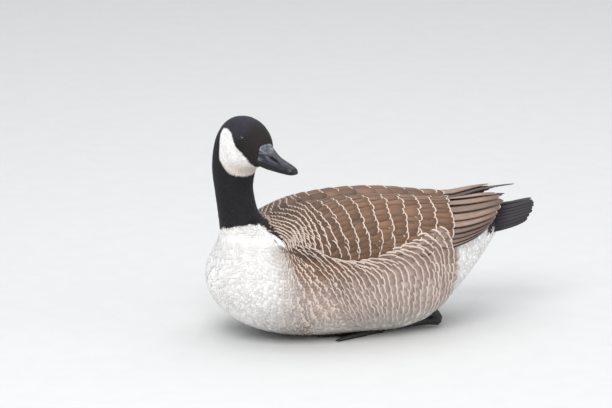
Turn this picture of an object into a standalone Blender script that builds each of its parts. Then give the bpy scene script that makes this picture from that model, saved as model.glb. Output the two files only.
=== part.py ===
"""Canada goose resting on its belly, head turned to its left, life size, as solids.

Metres, +Z up. The breast points along -X, the bird's left side is -Y, and the floor is z = 0.
"""
import math

import bmesh
import bpy
import numpy as np
from mathutils import Matrix, Vector

# Driving sizes of the whole bird
GAP = 0.0003
RING_POINTS = 28
HEAD_TURN = math.radians(118)
NECK_AXIS_X = -0.187
HEAD_SHIFT_Y = 0.008

# Flesh stations from the rump, along the body, up the neck and over the skull to the bill.
# Each: back (x, z), belly side (x, z), half width, height share of the widest place,
# roundness above and below it, and the share of the head's turn.
TORSO_STATIONS = [
    ((0.178, 0.128), (0.176, 0.115), 0.012, 0.50, 2.0, 2.0, 0.0),
    ((0.168, 0.135), (0.166, 0.103), 0.026, 0.50, 2.0, 2.0, 0.0),
    ((0.146, 0.150), (0.143, 0.074), 0.046, 0.52, 2.0, 2.0, 0.0),
    ((0.115, 0.159), (0.109, 0.040), 0.069, 0.53, 2.0, 2.1, 0.0),
    ((0.075, 0.166), (0.069, 0.010), 0.089, 0.53, 2.0, 2.3, 0.0),
    ((0.030, 0.172), (0.026, -0.003), 0.102, 0.51, 2.0, 2.4, 0.0),
    ((-0.020, 0.176), (-0.026, -0.003), 0.107, 0.50, 2.0, 2.4, 0.0),
    ((-0.068, 0.174), (-0.080, -0.002), 0.106, 0.49, 2.0, 2.4, 0.0),
    ((-0.100, 0.168), (-0.130, 0.002), 0.100, 0.48, 2.0, 2.3, 0.0),
    ((-0.122, 0.162), (-0.178, 0.018), 0.092, 0.46, 2.0, 2.2, 0.0),
    ((-0.135, 0.160), (-0.210, 0.044), 0.080, 0.45, 2.0, 2.1, 0.0),
    ((-0.143, 0.160), (-0.2210, 0.074), 0.066, 0.45, 2.0, 2.0, 0.0),
    ((-0.149, 0.1615), (-0.2140, 0.099), 0.052, 0.46, 2.0, 2.0, 0.0),
    ((-0.153, 0.164), (-0.2075, 0.121), 0.041, 0.48, 2.0, 2.0, 0.0),
    ((-0.1565, 0.1675), (-0.2055, 0.141), 0.0335, 0.50, 2.0, 2.0, 0.0),
]
NECK_STATIONS = [
    ((-0.1595, 0.177), (-0.2070, 0.159), 0.0280, 0.50, 2.0, 2.0, 0.08),
    ((-0.1610, 0.190), (-0.2090, 0.177), 0.0252, 0.50, 2.0, 2.0, 0.26),
    ((-0.1610, 0.203), (-0.2115, 0.193), 0.0252, 0.50, 2.0, 2.0, 0.52),
    ((-0.1600, 0.218), (-0.2145, 0.206), 0.0268, 0.50, 2.0, 2.0, 0.80),
    ((-0.1605, 0.234), (-0.2170, 0.2165), 0.0278, 0.50, 2.0, 2.0, 0.96),
]
HEAD_STATIONS = [
    ((-0.1620, 0.249), (-0.2200, 0.2235), 0.0280, 0.48, 2.0, 2.1, 1.0),
    ((-0.1660, 0.2655), (-0.2250, 0.2280), 0.0280, 0.46, 2.0, 2.2, 1.0),
    ((-0.1755, 0.2812), (-0.2300, 0.2305), 0.0275, 0.45, 2.0, 2.2, 1.0),
    ((-0.1900, 0.2915), (-0.2340, 0.2320), 0.0265, 0.46, 2.0, 2.2, 1.0),
    ((-0.207, 0.295), (-0.2370, 0.2330), 0.0255, 0.48, 2.1, 2.1, 1.0),
    ((-0.222, 0.292), (-0.2400, 0.2340), 0.0235, 0.49, 2.2, 2.0, 1.0),
    ((-0.234, 0.284), (-0.2425, 0.2350), 0.0205, 0.49, 2.3, 2.0, 1.0),
    ((-0.2415, 0.2745), (-0.2440, 0.2365), 0.0172, 0.48, 2.4, 2.0, 1.0),
    ((-0.2450, 0.2660), (-0.2455, 0.2380), 0.0145, 0.46, 2.6, 2.0, 1.0),
]
FLESH_STATIONS = TORSO_STATIONS + NECK_STATIONS + HEAD_STATIONS
RINGS_BETWEEN = 2

# Folded wings: the outer skin of both wings as one cape. Each: x, top z, lower edge z, half width.
CAPE_STATIONS = [
    (-0.132, 0.164, 0.128, 0.082),
    (-0.100, 0.174, 0.122, 0.096),
    (-0.050, 0.181, 0.117, 0.1035),
    (0.000, 0.181, 0.117, 0.1040),
    (0.050, 0.1755, 0.119, 0.0965),
    (0.090, 0.1695, 0.1165, 0.084),
    (0.125, 0.1670, 0.1215, 0.067),
    (0.155, 0.166, 0.1285, 0.048),
    (0.185, 0.163, 0.1385, 0.028),
    (0.215, 0.159, 0.1480, 0.012),
]


def spline(knots, values, t):
    """A smooth curve through values at knots, read at t: cubic pieces with averaged slopes."""
    values = np.asarray(values, float)
    steps = np.diff(knots)
    slopes = np.diff(values, axis=0) / steps[:, None]
    tangents = np.empty_like(values)
    tangents[0], tangents[-1] = slopes[0], slopes[-1]
    weight = (steps[:-1] / (steps[:-1] + steps[1:]))[:, None]
    tangents[1:-1] = slopes[:-1] * (1 - weight) + slopes[1:] * weight
    i = int(np.clip(np.searchsorted(knots, t) - 1, 0, len(knots) - 2))
    u = (t - knots[i]) / steps[i]
    return (
        (2 * u**3 - 3 * u**2 + 1) * values[i]
        + (u**3 - 2 * u**2 + u) * steps[i] * tangents[i]
        + (3 * u**2 - 2 * u**3) * values[i + 1]
        + (u**3 - u**2) * steps[i] * tangents[i + 1]
    )


def station_rows(stations):
    return np.array([[*d, *v, *rest] for d, v, *rest in stations])


FLESH_ROWS = station_rows(FLESH_STATIONS)
FLESH_KNOTS = np.arange(len(FLESH_ROWS), dtype=float)


def turned(point, share):
    """A point of the straight-necked bird, carried round by its share of the head's turn."""
    angle = HEAD_TURN * share
    x, y = point[0] - NECK_AXIS_X, point[1]
    return Vector(
        (
            NECK_AXIS_X + x * math.cos(angle) - y * math.sin(angle),
            x * math.sin(angle) + y * math.cos(angle) + HEAD_SHIFT_Y * share,
            point[2],
        )
    )


def flesh_point(station, angle, grow=0.0):
    """A point of the flesh: station number, angle round it from the left side upwards, growth."""
    xd, zd, xv, zv, half, share, above, below, twist = spline(FLESH_KNOTS, FLESH_ROWS, station)
    back, belly = Vector((xd, 0, zd)), Vector((xv, 0, zv))
    middle = belly.lerp(back, share)
    up = (back - belly).normalized()
    power = 2 / (above if math.sin(angle) >= 0 else below)
    side = math.copysign(abs(math.cos(angle)) ** power, math.cos(angle))
    rise = abs(math.sin(angle)) ** power
    reach = (back - middle).length if math.sin(angle) >= 0 else (belly - middle).length
    lift = math.copysign(rise * (reach + grow), math.sin(angle))
    point = middle + up * lift + Vector((0, -side * (half + grow), 0))
    if twist > 0:
        point = turned(point, min(1.0, max(0.0, twist)))
    if station < len(TORSO_STATIONS) - 1:
        point.z = max(point.z, -grow)
    return point


def mesh_object(name, points, faces, material=None):
    mesh = bpy.data.meshes.new(name)
    mesh.from_pydata([tuple(p) for p in points], [], faces)
    mesh.validate()
    made = bmesh.new()
    made.from_mesh(mesh)
    bmesh.ops.recalc_face_normals(made, faces=made.faces)
    if made.calc_volume(signed=True) < 0:
        bmesh.ops.reverse_faces(made, faces=made.faces)
    made.to_mesh(mesh)
    made.free()
    obj = bpy.data.objects.new(name, mesh)
    bpy.context.scene.collection.objects.link(obj)
    if material:
        mesh.materials.append(material)
    return obj


def skin_of_rings(rings, short_edges=False):
    """Faces that join rings of equal length into a closed tube with a fan over each end."""
    count = len(rings[0])
    points = [p for ring in rings for p in ring]
    faces = []
    for r in range(len(rings) - 1):
        for k in range(count):
            a, b = r * count + k, r * count + (k + 1) % count
            rising = (Vector(points[b + count]) - Vector(points[a])).length
            falling = (Vector(points[a + count]) - Vector(points[b])).length
            if rising <= falling or not short_edges:
                faces += [(a, b, b + count), (a, b + count, a + count)]
            else:
                faces += [(a, b, a + count), (b, b + count, a + count)]
    for r in (0, len(rings) - 1):
        points.append(sum((Vector(p) for p in rings[r]), Vector()) / count)
        hub = len(points) - 1
        for k in range(count):
            faces.append((hub, r * count + k, r * count + (k + 1) % count))
    return points, faces


def flesh_node(name, first, last, material, grow=0.0, per_station=RINGS_BETWEEN):
    """The closed length of flesh between two station numbers."""
    inside = [
        n / per_station
        for n in range(math.ceil(first * per_station + 0.3), math.floor(last * per_station - 0.3) + 1)
    ]
    rings = [
        [flesh_point(s, 2 * math.pi * k / RING_POINTS, grow) for k in range(RING_POINTS)]
        for s in [first, *inside, last]
    ]
    twisted = first > len(TORSO_STATIONS) - 1
    return mesh_object(name, *skin_of_rings(rings, short_edges=twisted), material)


def join_all(base, others, solver="EXACT"):
    """One Boolean union of base with a collection of closed meshes, applied."""
    helpers = bpy.data.collections.new(base.name + "_pieces")
    bpy.context.scene.collection.children.link(helpers)
    for obj in others:
        bpy.context.scene.collection.objects.unlink(obj)
        helpers.objects.link(obj)
    union = base.modifiers.new("union", "BOOLEAN")
    union.operation = "UNION"
    union.solver = solver
    union.operand_type = "COLLECTION"
    union.collection = helpers
    apply_modifiers(base)
    for obj in list(helpers.objects):
        bpy.data.objects.remove(obj)
    bpy.data.collections.remove(helpers)
    return base


def cut_away(base, cutter, solver="EXACT", keep_cutter=False):
    cut = base.modifiers.new("cut", "BOOLEAN")
    cut.operation = "DIFFERENCE"
    cut.solver = solver
    cut.object = cutter
    apply_modifiers(base)
    if not keep_cutter:
        bpy.data.objects.remove(cutter)
    return base


def apply_modifiers(obj):
    graph = bpy.context.evaluated_depsgraph_get()
    mesh = bpy.data.meshes.new_from_object(obj.evaluated_get(graph))
    old = obj.data
    obj.modifiers.clear()
    obj.data = mesh
    bpy.data.meshes.remove(old)


def keep_largest(obj, flatten=0):
    """Keeps the closed surface that spans the most; drops scraps and edges flatter than so many degrees."""
    made = bmesh.new()
    made.from_mesh(obj.data)
    bmesh.ops.triangulate(made, faces=made.faces)
    bmesh.ops.remove_doubles(made, verts=made.verts, dist=2e-6)
    bmesh.ops.dissolve_degenerate(made, edges=made.edges, dist=2e-6)
    if flatten:
        bmesh.ops.dissolve_limit(made, angle_limit=math.radians(flatten), verts=made.verts, edges=made.edges)
    bmesh.ops.triangulate(made, faces=made.faces)
    left, groups = set(made.faces), []
    while left:
        group, edge = set(), [left.pop()]
        while edge:
            face = edge.pop()
            group.add(face)
            for e in face.edges:
                for other in e.link_faces:
                    if other in left:
                        left.discard(other)
                        edge.append(other)
        groups.append(group)
    best = max(groups, key=lambda g: sum(f.calc_area() for f in g))
    loose = [f for g in groups if g is not best for f in g]
    bmesh.ops.delete(made, geom=loose, context="FACES")
    made.to_mesh(obj.data)
    made.free()
    return obj


def ball(name, centre, radius, material=None, stretch=(1, 1, 1), across=16, up=10):
    made = bmesh.new()
    bmesh.ops.create_uvsphere(made, u_segments=across, v_segments=up, radius=radius)
    bmesh.ops.scale(made, vec=stretch, verts=made.verts)
    bmesh.ops.translate(made, vec=centre, verts=made.verts)
    mesh = bpy.data.meshes.new(name)
    made.to_mesh(mesh)
    made.free()
    obj = bpy.data.objects.new(name, mesh)
    bpy.context.scene.collection.objects.link(obj)
    if material:
        mesh.materials.append(material)
    return obj


def block(name, low, high):
    """A box between two corners."""
    corners = [(x, y, z) for z in (low[2], high[2]) for y in (low[1], high[1]) for x in (low[0], high[0])]
    faces = [(0, 1, 3, 2), (4, 5, 7, 6), (0, 1, 5, 4), (2, 3, 7, 6), (0, 2, 6, 4), (1, 3, 7, 5)]
    return mesh_object(name, corners, faces)


def paint(name, colour, roughness):
    material = bpy.data.materials.new(name)
    material.use_nodes = True
    shader = material.node_tree.nodes["Principled BSDF"]
    shader.inputs["Base Color"].default_value = (*colour, 1)
    shader.inputs["Roughness"].default_value = roughness
    shader.inputs["Metallic"].default_value = 0
    return material


# Vanes: thin feather blades

def blade(name, spine, across, half_widths, thickness, camber=0.12):
    """A closed feather blade. spine runs from root to tip, across points to one side at each step."""
    top, under = [], []
    for i, (centre, side, half) in enumerate(zip(spine, across, half_widths)):
        ahead = spine[min(i + 1, len(spine) - 1)] - spine[max(i - 1, 0)]
        normal = side.cross(ahead).normalized()
        for column in (-1, 0, 1):
            sag = normal * (camber * half * (column != 0))
            point = centre + side * (half * column) - sag
            top.append(point + normal * thickness / 2)
            under.append(point - normal * thickness / 2)
    rows, count = len(spine), len(spine) * 3
    faces = []
    for r in range(rows - 1):
        for c in range(2):
            a = r * 3 + c
            faces += [(a, a + 1, a + 4), (a, a + 4, a + 3)]
            faces += [(count + a, count + a + 4, count + a + 1), (count + a, count + a + 3, count + a + 4)]
    rim = [r * 3 for r in range(rows)] + [rows * 3 - 2] + [r * 3 + 2 for r in reversed(range(rows))] + [1]
    for a, b in zip(rim, rim[1:] + rim[:1]):
        faces += [(a, b, count + b), (a, count + b, count + a)]
    return mesh_object(name, top + under, faces)


CAPE_ROWS = np.array(CAPE_STATIONS)
BACK_DIP = 0.0065


def cape_point(x, angle, rise=0.0):
    """A point of the folded wings' skin on the left: place along the body, angle from its lower edge."""
    _, top, low, half = spline(CAPE_ROWS[:, 0], CAPE_ROWS, x)
    y = -(half + rise) * math.cos(angle)
    z = low + (top - low + rise) * math.sin(angle)
    near_back = max(0.0, (math.degrees(angle) - 60) / 30)
    z -= BACK_DIP * near_back**2 * min(1.0, max(0.0, (0.15 - x) / 0.06))
    return Vector((x, y, z))


def cape_side(x, angle):
    """The unit direction across the wing's skin, towards the back."""
    step = 0.02
    return (cape_point(x, angle + step) - cape_point(x, angle - step)).normalized()


def cape_blade(name, root, tip, rises, half_width, thickness, shape):
    """A blade that follows the cape from root (x, degrees) to tip, with its height above the skin."""
    steps = len(shape)
    spine, across = [], []
    for i in range(steps):
        t = shape[i][0]
        x = root[0] + (tip[0] - root[0]) * t
        angle = math.radians(root[1] + (tip[1] - root[1]) * t)
        rise = rises[0] + (rises[1] - rises[0]) * t
        spine.append(cape_point(x, angle, rise))
        across.append(cape_side(x, angle))
    return blade(name, spine, across, [half_width * w for _, w in shape], thickness)


COVERT_SHAPE = [(0.0, 0.6), (0.5, 1.0), (0.82, 0.92), (0.95, 0.66), (1.0, 0.28)]
QUILL_SHAPE = [(0.0, 0.7), (0.4, 1.0), (0.75, 1.0), (0.93, 0.75), (1.0, 0.3)]


def mirrored(obj):
    """The same blade on the bird's right side."""
    obj.data.transform(Matrix.Scale(-1, 4, (0, 1, 0)))
    obj.data.flip_normals()
    return obj


def wing(side, primary_reach, tip_lift, torso_cutter, material):
    """A folded wing: a core under the cape, coverts in tiers over it, long quills and primaries behind."""
    core_back, core_front, core_sunk, core_deep = 0.118, -0.126, 0.0028, 0.018
    rings = []
    for n in range(13):
        x = core_front + (core_back - core_front) * n / 12
        sunk = core_sunk + 0.010 * max(0.0, 1 - n / 3) ** 2
        outer = [cape_point(x, math.radians(a), -sunk) for a in (4, 14, 25, 37, 49, 61, 72, 82)]
        inner = [cape_point(x, math.radians(a), -core_deep) for a in (82, 61, 37, 4)]
        rings.append(outer + inner)
    core = mesh_object(f"wing_{side}", *skin_of_rings(rings), material)
    blades = []
    # Coverts: tiers from the shoulder back, each tier a column of blades up the wing
    tier_tips = [-0.070, -0.036, -0.004, 0.027, 0.057, 0.086]
    for t, tip_x in enumerate(tier_tips):
        count = 4
        for k in range(count):
            tip_angle = 10 + (74 - 10) * (k + (0.5 if t % 2 else 0.12)) / count
            length = 0.040 + 0.0012 * t
            blades.append(
                cape_blade(
                    f"covert_{t}_{k}", (tip_x - length, tip_angle + 5), (tip_x, tip_angle),
                    (-0.0042, 0.0002), 0.0145 + 0.0005 * t, 0.0024, COVERT_SHAPE,
                )
            )
    # Secondaries and tertials: long quills one over another, the innermost on top
    quills = 7
    for k in range(quills):
        angle = 5 + 68 * (k / (quills - 1)) ** 1.05
        tip_x = 0.150 + 0.026 * math.sin(math.pi * (0.12 + 0.62 * k / (quills - 1)))
        blades.append(
            cape_blade(
                f"quill_{k}", (0.070, angle * 0.96), (tip_x, angle + 3), (-0.0040, -0.0016 + 0.0003 * k),
                0.0078, 0.0016, QUILL_SHAPE,
            )
        )
    # Primaries: narrow dark points past the quills, stepped so that each shows beyond the last
    primaries = 3
    for k in range(primaries):
        angle = 50 + 10 * k
        tip_x = primary_reach - 0.012 * (primaries - 1 - k)
        blades.append(
            cape_blade(
                f"primary_{k}", (0.095, angle * 0.9), (tip_x, angle + 4), (-0.0075, -0.0068 + 0.0012 * k),
                0.0062, 0.0014, QUILL_SHAPE,
            )
        )
    join_all(core, blades)
    cut_away(core, block("midline", (-0.2, -GAP / 2, 0.0), (0.4, 0.1, 0.3)))
    if side == "right":
        mirrored(core)
    for v in core.data.vertices:
        v.co.z += tip_lift * max(0.0, (v.co.x - 0.12) / 0.08)
    keep_largest(core, flatten=4.6)
    cut_away(core, torso_cutter, keep_cutter=True)
    return keep_largest(core, flatten=1)


def tail(torso_cutter, material):
    """Tail: a low root with the quills fanned from it, the middle pair on top."""
    quills, root_x, tip_x, roll = 14, 0.148, 0.228, math.radians(4)
    core = ball("tail", (0.166, 0, 0.1350), 0.022, material, (1.15, 1.05, 0.42), 16, 8)
    blades = []
    for k in range(quills):
        side = (k - (quills - 1) / 2) / ((quills - 1) / 2)
        reach = tip_x - root_x - 0.012 * side * side
        drop = abs(side) ** 1.3
        spine = []
        for t, _ in QUILL_SHAPE:
            x = root_x + reach * t
            y = side * (0.0235 + 0.0035 * t)
            z = 0.1410 + 0.0065 * t - 0.0175 * drop * (1 - 0.72 * t) - 0.0012 * abs(side)
            spine.append(Vector((x, y, z + y * math.tan(roll))))
        tilt = roll - side * 0.5
        across = [Vector((0, math.cos(tilt), math.sin(tilt)))] * len(spine)
        halves = [0.0080 * w for _, w in QUILL_SHAPE]
        blades.append(blade(f"rectrix_{k}", spine, across, halves, 0.0015, 0.05))
    join_all(core, blades)
    cut_away(core, torso_cutter, keep_cutter=True)
    return keep_largest(core, flatten=2)


# Head: bill, eyes and lids

BILL_BASE = Vector((-0.2438, 0, 0.2652))
# Upper bill: distance ahead of the feathers, ridge z, mouth line z, half width, roundness
UPPER_BILL = [
    (-0.0060, 0.2640, 0.2425, 0.0132, 2.7),
    (0.0000, 0.2650, 0.2412, 0.0134, 2.6),
    (0.0060, 0.2618, 0.2396, 0.0131, 2.4),
    (0.0150, 0.2562, 0.2380, 0.0122, 2.15),
    (0.0250, 0.2508, 0.2366, 0.0112, 2.0),
    (0.0350, 0.2464, 0.2352, 0.0103, 2.0),
    (0.0430, 0.2432, 0.2340, 0.0096, 2.1),
    (0.0485, 0.2408, 0.2330, 0.0083, 2.2),
    (0.0515, 0.2390, 0.2322, 0.0062, 2.3),
    (0.0530, 0.2370, 0.2318, 0.0036, 2.3),
]
# Lower bill: distance ahead, mouth line z, underside z, half width
LOWER_BILL = [
    (-0.0051, 0.2418, 0.2338, 0.0116),
    (0.0000, 0.2407, 0.2328, 0.0116),
    (0.0060, 0.2391, 0.2318, 0.0112),
    (0.0150, 0.2375, 0.2310, 0.0102),
    (0.0250, 0.2361, 0.2303, 0.0091),
    (0.0350, 0.2347, 0.2299, 0.0081),
    (0.0430, 0.2335, 0.2298, 0.0068),
    (0.0475, 0.2327, 0.2301, 0.0049),
    (0.0495, 0.2322, 0.2305, 0.0028),
]
ARCH_POINTS = 10


def bill_half(name, rows, upward, material, grow=0.0):
    """One half of the bill: flat on the mouth line and arched away from it."""
    rings = []
    for n, row in enumerate(rows):
        ahead, ridge, edge, half = row[0], row[1] + grow, row[2] - grow, row[3] + grow
        ahead -= grow if n == 0 else 0
        roundness = row[4] if upward else 2.0
        flat, peak = (edge, ridge) if upward else (ridge, edge)
        ring = []
        for k in range(ARCH_POINTS + 1):
            angle = math.pi * k / ARCH_POINTS
            side = math.copysign(abs(math.cos(angle)) ** (2 / roundness), math.cos(angle))
            rise = math.sin(angle) ** (2 / roundness) if 0 < k < ARCH_POINTS else 0.0
            ring.append((BILL_BASE.x - ahead, -side * half, flat + (peak - flat) * rise))
        for k in (1, 2, 3):
            ring.append((BILL_BASE.x - ahead, half * (1 - k / 2), flat))
        rings.append([turned(Vector(p), 1.0) for p in ring])
    return mesh_object(name, *skin_of_rings(rings), material)


def nostril_cutters():
    cutters = []
    for side in (-1, 1):
        cutter = ball("nostril_cut", (0, 0, 0), 1.0, None, (0.0062, 0.0032, 0.0017), 12, 8)
        cutter.data.transform(Matrix.Rotation(math.radians(22), 4, "Y").inverted())
        cutter.data.transform(Matrix.Translation((BILL_BASE.x - 0.0205, side * 0.0094, 0.2478)))
        for v in cutter.data.vertices:
            v.co = turned(v.co, 1.0)
        cutters.append(cutter)
    return cutters


EYE_AHEAD, EYE_Z, EYE_SIDE, EYE_RADIUS = 0.0215, 0.2722, 0.0203, 0.0056


def eye_centre(side):
    return turned(Vector((BILL_BASE.x + EYE_AHEAD, side * EYE_SIDE, EYE_Z)), 1.0)


def lid_ring(side):
    """The thick rim of skin round an eye."""
    major, minor, around, thick = 0.0054, 0.0011, 16, 6
    rings = []
    for n in range(around):
        a = 2 * math.pi * n / around
        ring = []
        for m in range(thick):
            b = 2 * math.pi * m / thick
            reach = major + minor * math.cos(b)
            x = reach * math.cos(a) * 1.08
            z = reach * math.sin(a) * 0.88
            y = side * (EYE_SIDE + 0.0030 + minor * math.sin(b))
            ring.append(turned(Vector((BILL_BASE.x + EYE_AHEAD + x, y, EYE_Z + z)), 1.0))
        rings.append(ring)
    points = [p for ring in rings for p in ring]
    faces = []
    for r in range(around):
        for k in range(thick):
            a, b = r * thick + k, r * thick + (k + 1) % thick
            c, d = ((r + 1) % around) * thick + k, ((r + 1) % around) * thick + (k + 1) % thick
            faces += [(a, b, d), (a, d, c)]
    return mesh_object("lid", points, faces)


# Legs: the shank lies along the ground under the flank, the webbed foot ahead of it

FOOT_Y, FOOT_X, FOOT_TOE_ANGLES = 0.047, -0.004, (-24, 0, 22)
TOE_LENGTHS = (0.066, 0.078, 0.070)
TOE_RADIUS, WEB_THICK = 0.0036, 0.0016


def tube(name, centres, radii, material=None, around=10):
    rings = []
    for i, (c, r) in enumerate(zip(centres, radii)):
        ahead = (centres[min(i + 1, len(centres) - 1)] - centres[max(i - 1, 0)]).normalized()
        side = ahead.cross(Vector((0, 0, 1))).normalized()
        up = side.cross(ahead)
        rings.append(
            [
                c + side * r * math.cos(2 * math.pi * k / around) + up * r * math.sin(2 * math.pi * k / around)
                for k in range(around)
            ]
        )
    return mesh_object(name, *skin_of_rings(rings), material)


def toe_line(side, n, share):
    angle = math.radians(FOOT_TOE_ANGLES[n]) * side
    reach = TOE_LENGTHS[n] * share
    return Vector((FOOT_X - reach * math.cos(angle), side * FOOT_Y + reach * math.sin(angle), 0))


def foot(side_name, side, material):
    """Three webbed front toes with claws, flat on the floor."""
    base = tube(
        f"foot_{side_name}",
        [toe_line(side, 1, s) + Vector((0, 0, 0.0040)) for s in (-0.04, 0.06, 0.16)],
        [0.0062, 0.0066, 0.0044], material,
    )
    pieces = []
    for n in range(3):
        shares = (0.05, 0.33, 0.38, 0.62, 0.68, 0.88, 1.0, 1.10)
        radii = [TOE_RADIUS * r for r in (1.15, 0.9, 1.08, 0.8, 0.95, 0.75, 0.6, 0.18)]
        pieces.append(
            tube(
                "toe", [toe_line(side, n, s) + Vector((0, 0, 0.0026)) for s in shares], radii, None, 8
            )
        )
    outline = [toe_line(side, 1, 0.02)]
    for n in range(3):
        outline.append(toe_line(side, n, 0.86))
        if n < 2:
            notch = (toe_line(side, n, 0.80) + toe_line(side, n + 1, 0.80)) / 2
            outline += [toe_line(side, n, 0.74).lerp(notch, 0.5), notch.lerp(toe_line(side, n + 1, 0.74), 0.5)]
    count = len(outline)
    points = [p + Vector((0, 0, z)) for z in (0.0003, 0.0003 + WEB_THICK) for p in outline]
    faces = [tuple(range(count)), tuple(range(count, 2 * count))]
    faces += [(k, (k + 1) % count, count + (k + 1) % count, count + k) for k in range(count)]
    pieces.append(mesh_object("web", points, faces))
    join_all(base, pieces)
    cut_away(base, block("floor_cut", (-0.5, -0.5, -0.5), (0.5, 0.5, 0.0)))
    return keep_largest(base, flatten=6)


def leg_tubes(side, grow=0.0):
    """The shank along the floor up to the hock, and the shin from the hock up into the belly."""
    start = Vector((FOOT_X + 0.0034, side * FOOT_Y, 0.0064))
    hock = Vector((FOOT_X + 0.082, side * (FOOT_Y + 0.002), 0.0105))
    knee = Vector((FOOT_X + 0.052, side * (FOOT_Y + 0.001), 0.0480))
    shares = (-0.004 if grow else 0.0, 0.10, 0.45, 0.78, 0.90, 0.97, 1.03)
    radii = (0.0056, 0.0050, 0.0047, 0.0050, 0.0066, 0.0074, 0.0050)
    shin_shares, shin_radii = (0.0, 0.15, 0.45, 0.80, 1.0), (0.0062, 0.0070, 0.0082, 0.0104, 0.0060)
    shank = tube("shank", [start.lerp(hock, s) for s in shares], [r + grow for r in radii], None, 10)
    shin = tube("shin", [hock.lerp(knee, s) for s in shin_shares], [r + grow for r in shin_radii], None, 10)
    return shank, shin


def leg(side_name, side, material):
    shank, shin = leg_tubes(side)
    shank.name = f"leg_{side_name}"
    shank.data.materials.append(material)
    join_all(shank, [shin])
    cut_away(shank, block("floor_cut", (-0.5, -0.5, -0.5), (0.5, 0.5, 0.0)))
    return keep_largest(shank)


def leg_rooms(side):
    """The rooms under the belly that the foot, shank and shin lie in."""
    outline = [
        toe_line(side, 1, -0.03) + Vector((0, -0.008, 0)),
        toe_line(side, 0 if side > 0 else 2, 1.12) + Vector((-0.003, -0.004, 0)),
        toe_line(side, 1, 1.13) + Vector((-0.002, 0, 0)),
        toe_line(side, 2 if side > 0 else 0, 1.12) + Vector((-0.003, 0.004, 0)),
        toe_line(side, 1, -0.03) + Vector((0, 0.008, 0)),
    ]
    count = len(outline)
    points = [p + Vector((0, 0, z)) for z in (-0.01, 0.0075) for p in outline]
    faces = [tuple(range(count)), tuple(range(count, 2 * count))]
    faces += [(k, (k + 1) % count, count + (k + 1) % count, count + k) for k in range(count)]
    under_toes = mesh_object("toe_room", points, faces)
    ankle = [toe_line(side, 1, s) + Vector((0, 0, 0.0040)) for s in (-0.05, 0.06, 0.22)]
    return [under_toes, tube("ankle_room", ankle, [0.0070, 0.0072, 0.0060]), *leg_tubes(side, GAP)]


def centre_on_floor(nodes):
    """Moves the whole bird so that the middle of its footprint is the origin."""
    spots = [v.co for obj in nodes for v in obj.data.vertices]
    middle = Vector([(min(p[i] for p in spots) + max(p[i] for p in spots)) / 2 for i in (0, 1)] + [0])
    for obj in nodes:
        obj.data.transform(Matrix.Translation(-middle))


def main():
    for obj in list(bpy.data.objects):
        bpy.data.objects.remove(obj)
    black = paint("black_plumage", (0.012, 0.011, 0.012), 0.75)
    brown = paint("brown_plumage", (0.17, 0.105, 0.07), 0.8)
    pale = paint("pale_plumage", (0.62, 0.56, 0.48), 0.85)
    tail_black = paint("tail_quills", (0.02, 0.017, 0.017), 0.6)
    horn = paint("bill_horn", (0.035, 0.037, 0.045), 0.35)
    eye_dark = paint("eye", (0.02, 0.012, 0.008), 0.05)
    foot_black = paint("foot_skin", (0.03, 0.029, 0.028), 0.55)

    neck_start = len(TORSO_STATIONS) - 1
    head_start = neck_start + len(NECK_STATIONS)
    last = len(FLESH_STATIONS) - 1
    slot = 0.014
    torso = flesh_node("torso", 0, neck_start - slot, pale)
    cutter = flesh_node("torso_cut", 0, neck_start - slot, None, grow=GAP + 0.0001)
    flesh_node("neck", neck_start + slot, head_start - slot, black)
    head = flesh_node("head", head_start + slot, last, black)

    wing("left", 0.188, 0.000, cutter, brown)
    wing("right", 0.200, 0.009, cutter, brown)
    tail(cutter, tail_black)
    bpy.data.objects.remove(cutter)

    for name, side in (("left", -1), ("right", 1)):
        foot(name, side, foot_black)
        leg(name, side, foot_black)
        for room in leg_rooms(side):
            cut_away(torso, room)
    keep_largest(torso)

    upper = bill_half("bill_upper", UPPER_BILL, True, horn)
    for cutter in nostril_cutters():
        cut_away(upper, cutter)
    bill_half("bill_lower", LOWER_BILL, False, horn)
    join_all(head, [lid_ring(1), lid_ring(-1)])
    for name, side in (("left", -1), ("right", 1)):
        socket = ball("socket", eye_centre(side), EYE_RADIUS + GAP, None, (1, 1, 1), 16, 12)
        cut_away(head, socket)
        ball(f"eye_{name}", eye_centre(side), EYE_RADIUS, eye_dark, (1, 1, 1), 14, 10)
    cut_away(head, bill_half("bill_room", UPPER_BILL, True, None, GAP))
    cut_away(head, bill_half("bill_room", LOWER_BILL, False, None, GAP))
    keep_largest(head)

    centre_on_floor(bpy.context.scene.collection.objects)
    for obj in bpy.context.scene.collection.objects:
        obj.data.shade_smooth()
        obj.data.set_sharp_from_angle(angle=math.radians(40))


main()
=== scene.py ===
"""Canada goose: one feathered skin, laid wings and tail, bill, eyes and feet, around the solid frame."""

import math

import bpy
import numpy as np
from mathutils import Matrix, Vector, kdtree


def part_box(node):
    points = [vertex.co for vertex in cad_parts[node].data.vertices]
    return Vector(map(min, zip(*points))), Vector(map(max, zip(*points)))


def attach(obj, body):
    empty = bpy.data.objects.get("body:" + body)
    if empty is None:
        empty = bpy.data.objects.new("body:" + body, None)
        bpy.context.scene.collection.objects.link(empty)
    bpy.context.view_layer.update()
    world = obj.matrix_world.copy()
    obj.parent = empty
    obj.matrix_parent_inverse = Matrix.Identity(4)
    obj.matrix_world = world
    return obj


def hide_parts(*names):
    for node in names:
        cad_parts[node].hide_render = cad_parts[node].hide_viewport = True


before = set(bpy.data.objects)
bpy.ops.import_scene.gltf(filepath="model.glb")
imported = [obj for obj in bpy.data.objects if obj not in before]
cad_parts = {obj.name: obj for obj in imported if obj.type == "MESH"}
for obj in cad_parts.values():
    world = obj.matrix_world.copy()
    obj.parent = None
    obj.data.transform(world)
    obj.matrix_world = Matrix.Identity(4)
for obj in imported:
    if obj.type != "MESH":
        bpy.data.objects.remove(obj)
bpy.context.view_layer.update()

# Driving sizes, in metres, as in the solids
HEAD_TURN = math.radians(118)
NECK_AXIS_X = -0.187
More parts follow.
